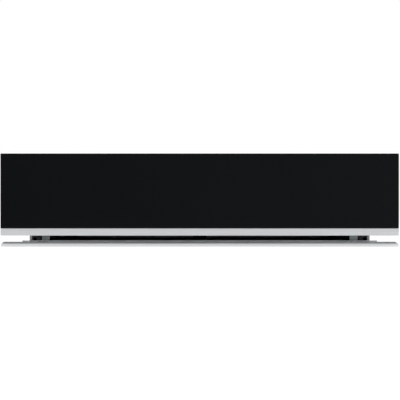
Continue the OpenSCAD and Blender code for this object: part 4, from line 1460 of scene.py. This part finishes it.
    def cap(self, node: str, radius: float, ease: float, crown: float) -> Surface:
        """A round cap through the front frame, with a collar behind it.

        Its face rises by crown (1 - s^2) for the share s of its radius.

        Args:
            node: the node that it stands for.
            radius: radius of the cap.
            ease: radius of its rim.
            crown: how far its middle stands out, or in if it is negative.

        Returns:
            The cap's surface.
        """
        box = Box.of(node)
        centre = box.axle
        front, rear = -box.low[1] - max(crown, 0), -box.high[1]
        collar = -Box.of("front_frame").high[1] - self.collar_gap
        back, stem, wide = collar - self.collar_t, radius * self.stem_share, box.size[0] / 2
        share = np.linspace(1, 0, self.crown_rows + 1)[1:]
        rim = np.linspace(0, math.pi / 2, self.rim_rows)
        radii = np.concatenate([[0, stem, stem, wide, wide, radius],
                                radius - ease * (1 - np.cos(rim)), share * (radius - ease)])
        heights = np.concatenate([[rear, rear, back, back, collar, collar],
                                  front - ease * (1 - np.sin(rim)), front + crown * (1 - share**2)])
        return Surface().grid(turned(centre, FORWARD, radii, heights, self.cap_sides), caps=False)


# ---------- housing ----------
@dataclass
class Housing(SubAssembly):
    """The sheet-metal housing: its cover, ceiling, threshold trim, buffer and cable gland.

    Attributes:
        sheet: thickness of the housing's sheet.
        bend: radius of the middle line of a fold.
        bend_steps: points on a fold of the cover.
        cover_columns: columns of points across the cover's top.
        press_steps: rows of points along a pressed sheet.
        bead_h: height of the cover's pressed beads.
        bead_w: width of a bead.
        bead_count: number of beads.
        bead_margin: bare length at each end of a bead.
        field_h: depth of the ceiling's pressed field.
        field_margin: bare width round the field.
        field_slope: width of the field's sloping edge.
        bevel: width of the trim's bevel.
        trim_bend: radius of the trim's folds.
        trim_corner: radius of the trim's two front corners.
        trim_steps: points on a fold or a corner of the trim.
        trim_back: how far the trim's level sheet stops short of its back edge.
        buffer_steps: points round the buffer's section.
        bore_r: radius of the gland's bore.
        stub_r: radius of the gland's threaded stub.
        cap_r: radius of the gland's cap.
        cap_end: height of the cap's tapering end.
        cap_mouth: height of the slope round its mouth.
        taper: the cap's radius where that slope starts, as a share.
        mouth: the cap's radius at its mouth, as a share.
        nut_r: radius of the gland's nut over its corners.
        nut_h: height of the nut.
        ribs: ribs round the gland's cap.
        rib: share of the cap's radius that a rib takes.
        gland_sides: points round the gland.
    """

    sheet: float = 1.2 * MM
    bend: float = 1.8 * MM
    bend_steps: int = 6
    cover_columns: int = 49
    press_steps: int = 121
    bead_h: float = 1.8 * MM
    bead_w: float = 20.0 * MM
    bead_count: int = 4
    bead_margin: float = 50.0 * MM
    field_h: float = 0.8 * MM
    field_margin: float = 28.0 * MM
    field_slope: float = 9.0 * MM
    bevel: float = 3.1 * MM
    trim_bend: float = 0.5 * MM
    trim_corner: float = 1.0 * MM
    trim_steps: int = 4
    trim_back: float = 1.0 * MM
    buffer_steps: int = 13
    bore_r: float = 4.25 * MM
    stub_r: float = 8.0 * MM
    cap_r: float = 10.0 * MM
    cap_end: float = 3.0 * MM
    cap_mouth: float = 1.5 * MM
    taper: float = 0.92
    mouth: float = 0.72
    nut_r: float = 11.0 * MM
    nut_h: float = 4.0 * MM
    ribs: int = 24
    rib: float = 0.035
    gland_sides: int = 96

    def build(self) -> None:
        """Makes the cover, the ceiling, the trim, the buffer and the gland."""
        self.cover()
        self.ceiling()
        self.trim()
        self.buffer()
        self.gland()

    @staticmethod
    def pressed(line: Array, rows: Array, sheet: float, lift: Array) -> Surface:
        """A sheet that follows a line across and is carried along Y, raised by what the press gave it.

        Args:
            line: (n, 2) points of the sheet's middle line.
            rows: (m,) places along Y.
            sheet: the sheet's thickness.
            lift: (m, n) heights of the pressed pattern.

        Returns:
            The closed surface.
        """
        rings = placed(thickened(line, sheet), rows, Axis.Y)
        rings[..., 2] += np.concatenate([lift, lift[:, ::-1]], axis=1)
        return Surface().grid(rings)

    def cover(self) -> None:
        """The cover: a sheet folded down at both sides, with pressed beads from side to side.

        A bead's height is h cos^2 of its width, eased to nothing over its own width at both ends.
        """
        box = Box.of("top_cover")
        half = self.sheet / 2
        side, low, high = box.high[0] - half, box.low[2], box.high[2] - half
        line = filleted([(-side, low), (-side, high), (side, high), (side, low)], self.bend, self.bend_steps)
        flat = np.linspace(-1, 1, self.cover_columns)[1:-1] * (side - self.bend)
        corner = np.searchsorted(line[:, 0], 0)
        top = np.stack([flat, np.full(flat.size, high)], axis=1)
        line = np.concatenate([line[:corner], top, line[corner:]])
        rows = np.linspace(box.low[1], box.high[1], self.press_steps)
        pitch = box.size[1] / self.bead_count
        place = ((rows - box.low[1]) % pitch) - pitch / 2
        ridge = np.where(np.abs(place) < self.bead_w / 2, np.cos(math.pi * place / self.bead_w) ** 2, 0)
        fade = np.clip((side - self.bead_margin - np.abs(line[:, 0])) / self.bead_w, 0, 1)
        cover = self.pressed(line, rows, self.sheet, self.bead_h * ridge[:, None] * smooth(fade))
        # the cover wears the housing's zinc, darkened as painted shade
        self.dress(cover.mesh("beaded_cover"), "housing", [Palette.galvanised], ["top_cover"])

    def ceiling(self) -> None:
        """The cavity's ceiling: a flat sheet with a wide shallow field pressed down between its edges."""
        box, guide = Box.of("cavity_ceiling"), Box.of("air_guide").low[1]
        x, y = (np.linspace(box.low[i], box.high[i], self.press_steps) for i in (0, 1))
        middle = (box.low[1] + guide) / 2
        reach_x = Box.of("drawer_tray").high[0] - self.field_margin
        reach_y = (guide - box.low[1]) / 2 - self.field_margin
        across = smooth(np.clip((reach_x - np.abs(x)) / self.field_slope, 0, 1))
        along = smooth(np.clip((reach_y - np.abs(y - middle)) / self.field_slope, 0, 1))
        line = np.stack([x, np.full(x.size, box.middle[2])], axis=1)
        sheet = self.pressed(line, y, box.size[2], -self.field_h * along[:, None] * across)
        self.dress(sheet.mesh("pressed_ceiling"), "housing", [Palette.stainless], ["cavity_ceiling"])

    def trim(self) -> None:
        """The threshold trim: a sheet folded over the front edge, bevelled along its front and both ends.

        Each level is a rectangle whose front and ends are drawn in by the level's inset.
        """
        box = Box.of("trim_plate")
        far, top = box.size[1] - self.trim_back, box.size[2]
        rise = filleted([(0, 0), (0, top - self.bevel), (self.bevel, top), (far, top)],
                        self.trim_bend, self.trim_steps)[:-1]
        corner = filleted([(-1, 0), (0, 0), (0, 1)], self.trim_corner, self.trim_steps)[1:-1]
        inset, level = rise[:, 0], rise[:, 1] + box.low[2]
        hw = box.size[0] / 2
        right = np.stack([hw + corner[:, 0], box.low[1] + corner[:, 1]], axis=1)
        left = np.stack([-right[::-1, 0], right[::-1, 1]], axis=1)
        plan = np.concatenate([[[-hw, box.high[1]]], left, right, [[hw, box.high[1]]]])
        drawn = np.stack([np.sign(plan[:, 0]), -(plan[:, 1] < far + box.low[1]).astype(float)], axis=1)
        points = placed(plan[None] - drawn[None] * inset[:, None, None], level, Axis.Z)
        surface = Surface().grid(points, caps=False)
        surface.take(points[-1], [[surface.count + i for i in range(len(plan))]], 0)
        piece = surface.mesh("bevelled_trim")
        wall = piece.modifiers.new("sheet", "SOLIDIFY")
        wall.thickness, wall.offset = self.sheet, -1.0
        self.dress(piece, "housing", [Palette.ground_trim], ["trim_plate"])

    def buffer(self) -> None:
        """The rubber buffer: a strip with a D-shaped section, y = -t cos(a) over a half turn."""
        box = Box.of("front_buffer")
        angle = np.linspace(-math.pi / 2, math.pi / 2, self.buffer_steps)
        section = np.stack([box.high[1] - box.size[1] * np.cos(angle),
                            box.middle[2] + box.size[2] / 2 * np.sin(angle)], axis=1)
        strip = Surface().outline(section, box.low[0], box.high[0], Axis.X)
        self.dress(strip.mesh("buffer_strip"), "housing", [Palette.black_rubber], ["front_buffer"])

    def gland(self) -> None:
        """The cable gland: a ribbed cap, a stub and a hexagonal nut inside, with a bore right through."""
        box, rear = Box.of("cable_gland"), Box.of("rear_panel").high[1]
        centre = box.axle
        steps = self.gland_sides
        angle = np.linspace(0, 2 * math.pi, steps, endpoint=False)
        rib = 1 - self.rib * (0.5 + 0.5 * np.cos(self.ribs * angle))
        plain = np.ones(steps)
        sector = math.pi / 6
        hexagon = math.cos(sector) / np.cos((angle + sector) % (2 * sector) - sector)
        bore, stub, cap, nut = self.bore_r, self.stub_r, self.cap_r, self.nut_r
        inner, low, high = rear - self.sheet, box.low[1], box.high[1]
        rows = [(bore, low, plain), (stub, low, plain), (stub, inner - self.nut_h, plain),
                (nut, inner - self.nut_h, hexagon), (nut, inner, hexagon), (stub, inner, plain),
                (stub, rear, plain), (cap, rear, rib), (cap, high - self.cap_end, rib),
                (cap * self.taper, high - self.cap_mouth, rib), (cap * self.mouth, high, plain),
                (bore, high, plain), (bore, low, plain)]
        radii = np.array([r * shape for r, _, shape in rows])
        heights = np.array([h for _, h, _ in rows])
        gland = Surface().grid(turned(centre, np.array(Axis.Y.value), radii, heights, steps), caps=False)
        self.dress(gland.mesh("ribbed_gland"), "housing", [Palette.black_plastic], ["cable_gland"])


# ---------- insulation ----------
@dataclass
class Insulation(SubAssembly):
    """The foil-faced glass-wool batts over the cavity, beside it and inside the front.

    Attributes:
        corner: radius of a batt's corners.
        edge: radius of a batt's edges.
        lump: depth of its unevenness.
        wave: length of its unevenness.
        cross_rate: how much shorter the second wave is.
        bent: how fast the first wave is bent, as a share of its own rate.
        cross_bent: how fast the second wave is bent, likewise.
        rings: rings of points on each face.
        around: points in each ring.
        hub: radius of the innermost ring, as a share of the face.
        corner_steps: points on each corner.
        edge_steps: points across each edge.
    """

    corner: float = 8.0 * MM
    edge: float = 3.5 * MM
    lump: float = 1.2 * MM
    wave: float = 46.0 * MM
    cross_rate: float = 1.2
    bent: float = 0.6
    cross_bent: float = 0.8
    rings: int = 16
    around: int = 200
    hub: float = 0.02
    corner_steps: int = 6
    edge_steps: int = 5

    def build(self) -> None:
        """Makes the batts, one piece for each node."""
        for node in ("top_insulation", "side_insulation", "front_insulation"):
            surface = Surface()
            for box in solids(node):
                surface.grid(self.batt(box))
            batt = surface.mesh(node.replace("insulation", "wool_batt"))
            self.dress(batt, BODY_OF[node], [Palette.foiled_wool], [node])

    def batt(self, box: Box) -> Array:
        """A batt: a slab with round edges, dented inwards by two crossed waves, each bent by the other.

        For the places u and v in waves, the dent is lump times a half and a quarter of
        sin(u + sin(bent v)) + sin(cross_rate v + sin(cross_bent u)), which runs from 0 to lump.

        Args:
            box: the batt's box.

        Returns:
            Rings of points from the middle of one face round the edge to the middle of the other.
        """
        thin = int(np.argmin(box.size))
        across = [i for i in range(3) if i != thin]
        half = box.size[across] / 2
        outline = rounded_rectangle(half[0], half[1], self.corner, self.corner_steps)
        closed = np.concatenate([outline, outline[:1]])
        length = np.concatenate([[0], np.cumsum(np.linalg.norm(np.diff(closed, axis=0), axis=1))])
        places = np.linspace(0, length[-1], self.around, endpoint=False)
        unit = np.stack([np.interp(places, length, closed[:, i]) for i in range(2)], axis=1)
        core = unit - np.sign(unit) * np.maximum(np.abs(unit) - (half - self.corner), 0)
        angle = np.linspace(0, math.pi / 2, self.edge_steps)[1:]
        inset = np.concatenate([np.full(self.rings, self.edge), self.edge * (1 - np.sin(angle))])
        share = np.concatenate([np.linspace(self.hub, 1, self.rings), np.ones(angle.size)])
        moved = np.concatenate([np.zeros(self.rings), self.edge * (1 - np.cos(angle))])
        flat = (core + (unit - core) * (1 - inset / self.corner)[:, None, None]) * share[:, None, None]
        u, v = 2 * math.pi * flat[..., 0] / self.wave, 2 * math.pi * flat[..., 1] / self.wave
        first = np.sin(u + np.sin(self.bent * v))
        second = np.sin(self.cross_rate * v + np.sin(self.cross_bent * u))
        dent = self.lump * (0.5 + 0.25 * (first + second))
        dent[self.rings:] *= np.cos(angle)[:, None]
        faces = [np.insert(flat, thin, box.size[thin] / 2 - moved[:, None] - dent, axis=2),
                 np.insert(flat, thin, moved[:, None] + dent[:, ::-1] - box.size[thin] / 2, axis=2)]
        return np.concatenate([faces[0], faces[1][::-1]]) + box.middle


# ---------- latch ----------
@dataclass
class Latch(SubAssembly):
    """The push latch's plunger and its spring.

    Attributes:
        nose: share of the plunger's radius that its nose rounds.
        stem_r: radius of the stem that carries the spring.
        body_len: length of the plunger's thick body.
        shoulder_ring: how far from the shoulder a ring of points keeps the body's shading crisp.
        pin_sides: points round the plunger.
        nose_rows: rows of points on its nose.
        wire_r: radius of the spring's wire.
        turns: turns of the spring.
        closed: turns at each end that lie on each other.
        turn_steps: points on each turn of the wire.
        wire_sides: points round the wire.
    """

    nose: float = 0.6
    stem_r: float = 1.6 * MM
    body_len: float = 26.0 * MM
    shoulder_ring: float = 1.0 * MM
    pin_sides: int = 40
    nose_rows: int = 6
    wire_r: float = 0.4 * MM
    turns: float = 11.0
    closed: float = 1.0
    turn_steps: int = 24
    wire_sides: int = 10

    def build(self) -> None:
        """Makes the plunger and the spring."""
        self.plunger()
        self.spring()

    def spring(self) -> None:
        """The spring: a round wire on a helix.

        Its centre rises by a wire's width a turn over the closed turns, and from there by a pitch that
        eases in over one turn and fills the spring's length.
        """
        box = Box.of("latch_spring")
        turn = np.linspace(0, self.turns, round(self.turn_steps * self.turns) + 1)
        open_share = smooth(np.clip(np.minimum(turn, self.turns - turn) - self.closed, 0, 1))
        close_rise = 2 * self.wire_r * turn
        open_rise = np.concatenate([[0], np.cumsum((open_share[1:] + open_share[:-1]) / 2)])
        pitch = (box.size[1] - 2 * self.wire_r - close_rise[-1]) / open_rise[-1]
        rise = box.low[1] + self.wire_r + close_rise + pitch * open_rise
        angle = 2 * math.pi * turn[:, None]
        ring = np.linspace(0, 2 * math.pi, self.wire_sides, endpoint=False)
        radius = box.size[0] / 2 - self.wire_r + self.wire_r * np.cos(ring)
        wire = np.stack([box.middle[0] + radius * np.cos(angle), rise[:, None] + self.wire_r * np.sin(ring),
                         box.middle[2] + radius * np.sin(angle)], axis=-1)
        coil = Surface().grid(wire).mesh("latch_coil")
        self.dress(coil, BODY_OF["latch_spring"], [Palette.spring_steel], ["latch_spring"])
        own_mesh(coil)

    def plunger(self) -> None:
        """The plunger: a turned pin, R - n (1 - cos a) across its nose, and a thin stem behind it."""
        box = Box.of("latch_plunger")
        centre = box.axle
        radius, tip, end = box.size[0] / 2, -box.low[1], -box.high[1]
        ease, shoulder = self.nose * radius, tip - self.body_len
        rim = np.linspace(0, math.pi / 2, self.nose_rows)
        radii = np.concatenate([[0, self.stem_r, self.stem_r, radius, radius],
                                radius - ease * (1 - np.cos(rim)), [0]])
        heights = np.concatenate([[end, end, shoulder, shoulder, shoulder + self.shoulder_ring],
                                  tip - ease * (1 - np.sin(rim)), [tip]])
        pin = Surface().grid(turned(centre, FORWARD, radii, heights, self.pin_sides), caps=False)
        self.dress(pin.mesh("latch_pin"), "plunger", [Palette.white_plastic], ["latch_plunger"])


# ---------- parts that keep the frame's shape ----------
@dataclass
class Deburred(SubAssembly):
    """Cut, pressed and moulded parts: the frame's own shapes with their hard edges eased.

    Attributes:
        sheet: width of the eased edge on cut sheet.
        moulded: width of the eased edge on mouldings.
        wound: width of the eased edge on the coil.
        segments: facets across an eased edge.
    """

    sheet: float = 0.2 * MM
    moulded: float = 0.5 * MM
    wound: float = 2.0 * MM
    segments: int = 2

    def build(self) -> None:
        """Makes an eased copy of each part."""
        sheets = ("base_pan", "side_panel_left", "side_panel_right", "rear_panel", "front_frame",
                  "fan_baffle", "air_guide", "drawer_rear_wall", "front_carrier", "front_bracket_left",
                  "front_bracket_right", "runner_bracket_left", "runner_bracket_right", "latch_striker",
                  "motor_stator", "motor_brackets")
        mouldings = ("switch_body", "temperature_control", "terminal_block", "overheat_cutout",
                     "latch_housing")
        windings = ("motor_coil",)
        for width, nodes in ((self.sheet, sheets), (self.moulded, mouldings), (self.wound, windings)):
            for node in nodes:
                piece = self.copy(node)
                bevel = piece.modifiers.new("eased_edges", "BEVEL")
                bevel.width, bevel.segments = width, self.segments
                bevel.limit_method, bevel.angle_limit = "ANGLE", SHARP_ANGLE
                # the base pan takes the zinc lightened as painted light, other galvanised sheets the zinc
                # darkened as painted shade
                finish = Palette.fresh_zinc if node == "base_pan" else Palette.by_slot()[SLOT_OF[node]]
                self.dress(piece, BODY_OF[node], [finish], [node])

    @staticmethod
    def copy(node: str) -> bpy.types.Object:
        """A copy of a node's mesh, merged, with the triangles of each flat face joined.

        Args:
            node: the node's name.

        Returns:
            The copy's object, at the origin.
        """
        shell = merged(frame["nodes"][node].data)
        bmesh.ops.dissolve_limit(shell, angle_limit=FLAT_ANGLE, verts=shell.verts, edges=shell.edges)
        return add_object(f"{node}_eased", shaded(shell, bpy.data.meshes.new(node)))


# ---------- the rest of the CAD nodes ----------
def dress_nodes() -> None:
    """Gives each CAD node the finish of the record's slot that it has."""
    by_slot = Palette.by_slot()
    for name, node in frame["nodes"].items():
        finish = by_slot[SLOT_OF[name]]
        for place in node.material_slots:
            place.material = finish.material
        LOG.info("%s: %s", name, finish.name)


# ---------- studio ----------
@dataclass(frozen=True)
class Lamp:
    """A large soft lamp that looks at the object.

    Attributes:
        name: its name.
        place: where it hangs.
        watts: its power.
        size: its width.
    """

    name: str
    place: tuple[float, float, float]
    watts: float
    size: float


@dataclass
class Studio:
    """The floor, the lights and the camera.

    Attributes:
        distance: from the camera to the face of the front.
        eye_z: height of the camera.
        eye_x: the camera's place across.
        lens: focal length in mm.
        sensor: width of the sensor in mm.
        sky: how brightly the surroundings light matt surfaces.
        paper: reflectance of the floor.
        paper_glow: what the floor adds to its own light to look white.
        floor_half: half the floor's width.
        floor_z: height of the floor, a hair under the base pan so that the two stay apart from below.
        card_half: half the dark card's width.
        card_h: height of the dark card.
        card_y: where the card stands up.
        card_near: where the card's end lies on the floor.
        card_lift: height of its lying part over the floor.
        card_dim: the card's brightness on the left.
        card_lit: the card's brightness on the right.
        card_tint: the card's cool colour.
        key: the lamp on the left.
        fill: the lamp on the right.
    """

    distance: float = 2.0
    eye_z: float = 0.0695
    eye_x: float = 0.0005
    lens: float = 120.6
    sensor: float = 36.0
    sky: float = 0.8
    paper: float = 0.42
    paper_glow: float = 0.68
    floor_half: float = 6.0
    floor_z: float = -0.2 * MM
    card_half: float = 1.0
    card_h: float = 0.45
    card_y: float = -2.6
    card_near: float = -1.15
    card_lift: float = 0.001
    card_dim: float = 0.07
    card_lit: float = 0.17
    card_tint: tuple[float, float, float, float] = (0.9, 0.97, 1.0, 1.0)
    key: Lamp = Lamp("key_lamp", (-1.6, -1.4, 1.9), 22.0, 1.4)
    fill: Lamp = Lamp("fill_lamp", (1.9, 0.4, 1.8), 16.0, 1.6)

    def build(self) -> None:
        """Makes the studio."""
        self.world()
        self.floor()
        self.card()
        self.lamps()
        self.camera()

    @staticmethod
    def seen(tree: bpy.types.NodeTree) -> Any:
        """What tells the rays that show the surroundings from those that only light the object.

        Args:
            tree: the node tree that asks.

        Returns:
            A socket that is 1 for rays from the camera, or from gloss or glass.
        """
        rays = add_node(tree, "ShaderNodeLightPath").outputs
        first = add_node(tree, "ShaderNodeMath", {"operation": "MAXIMUM"},
                         {0: rays["Is Camera Ray"], 1: rays["Is Glossy Ray"]})
        return add_node(tree, "ShaderNodeMath", {"operation": "MAXIMUM"},
                        {0: first.outputs[0], 1: rays["Is Transmission Ray"]}).outputs[0]

    def world(self) -> None:
        """White to the camera and in gloss, and a little dimmer as a light."""
        world = bpy.data.worlds.new("studio")
        bpy.context.scene.world = world
        world.use_nodes = True
        tree = world.node_tree
        strength = add_node(tree, "ShaderNodeMapRange", {"To Min": self.sky, "To Max": 1.0},
                            {"Value": self.seen(tree)})
        background = tree.nodes["Background"]
        background.inputs["Color"].default_value = (1, 1, 1, 1)
        tree.links.new(strength.outputs["Result"], background.inputs["Strength"])

    def floor(self) -> None:
        """A white floor that keeps the object's soft shadow. Seen from below it is clear."""
        far = self.floor_half
        points = np.array([[[x, y, self.floor_z] for x in (-far, far)] for y in (-far, far)])
        floor = Surface().grid(points, wrap=False, caps=False).mesh("studio_floor")
        if floor.data.polygons[0].normal.z < 0:
            floor.data.flip_normals()
        material = bpy.data.materials.new("studio_paper")
        material.use_nodes = True
        tree = material.node_tree
        shader = tree.nodes["Principled BSDF"]
        shader.inputs["Base Color"].default_value = (self.paper, self.paper, self.paper, 1)
        shader.inputs["Roughness"].default_value = 1.0
        shader.inputs["Specular IOR Level"].default_value = 0.0
        shader.inputs["Emission Color"].default_value = (1, 1, 1, 1)
        glow = add_node(tree, "ShaderNodeMath", {"operation": "MULTIPLY", 1: self.paper_glow},
                        {0: self.seen(tree)})
        tree.links.new(glow.outputs[0], shader.inputs["Emission Strength"])
        below = add_node(tree, "ShaderNodeNewGeometry").outputs["Backfacing"]
        clear = add_node(tree, "ShaderNodeBsdfTransparent").outputs["BSDF"]
        sided = add_node(tree, "ShaderNodeMixShader", None, {0: below, 1: shader.outputs["BSDF"], 2: clear})
        tree.links.new(sided.outputs["Shader"], tree.nodes["Material Output"].inputs["Surface"])
        floor.data.materials.append(material)

    def card(self) -> None:
        """A dark card that the glass mirrors.

        It lies on the floor, stands up behind the camera, and is a little lighter to the right.
        """
        half = self.card_half
        path = ((self.card_near, self.card_lift), (self.card_y, self.card_lift), (self.card_y, self.card_h))
        points = np.array([[[-half, y, z], [half, y, z]] for y, z in path])
        card = Surface().grid(points, wrap=False, caps=False).mesh("studio_card")
        material = bpy.data.materials.new("dark_card")
        material.use_nodes = True
        tree = material.node_tree
        tree.nodes.remove(tree.nodes["Principled BSDF"])
        place = add_node(tree, "ShaderNodeTexCoord").outputs["Object"]
        across = add_node(tree, "ShaderNodeSeparateXYZ", None, {"Vector": place}).outputs["X"]
        level = add_node(tree, "ShaderNodeMapRange",
                         {"From Min": -half, "From Max": half,
                          "To Min": self.card_dim, "To Max": self.card_lit}, {"Value": across})
        glow = add_node(tree, "ShaderNodeEmission", {"Color": self.card_tint},
                        {"Strength": level.outputs["Result"]})
        tree.links.new(glow.outputs["Emission"], tree.nodes["Material Output"].inputs["Surface"])
        card.data.materials.append(material)
        card.visible_camera = card.visible_diffuse = card.visible_shadow = False

    def lamps(self) -> None:
        """Two large soft lamps, high on both sides."""
        for lamp in (self.key, self.fill):
            data = bpy.data.lights.new(lamp.name, "AREA")
            data.energy, data.size = lamp.watts, lamp.size
            light = add_object(lamp.name, data)
            light.location = lamp.place
            aim = -np.array(lamp.place) / np.linalg.norm(lamp.place)
            yaw, tilt = math.atan2(-aim[0], aim[1]), math.acos(-aim[2])
            light.rotation_euler = (tilt, 0, yaw)
            light.visible_glossy = False

    def camera(self) -> None:
        """A level camera that looks straight back, with no shift and no depth of field."""
        data = bpy.data.cameras.new("camera")
        data.lens, data.sensor_width = self.lens, self.sensor
        data.dof.use_dof = False
        camera = add_object("camera", data)
        front = Box.of("front_glass").low[1]
        camera.location = (self.eye_x, front - self.distance, self.eye_z)
        camera.rotation_euler = (math.pi / 2, 0, 0)
        bpy.context.scene.camera = camera


def main() -> None:
    """Dresses the CAD nodes, builds every sub-assembly and the studio, and sets the Standard view transform.
    """
    logging.basicConfig(level=logging.INFO, format="%(name)s %(message)s")
    dress_nodes()
    for assembly in (FrontPanel(), Drawer(), Runners(), Controls(), Housing(), Insulation(), Latch(),
                     Fixings(), Deburred()):
        assembly.build()
    Studio().build()
    bpy.context.scene.view_settings.view_transform = "Standard"


if __name__ == "__main__":
    main()
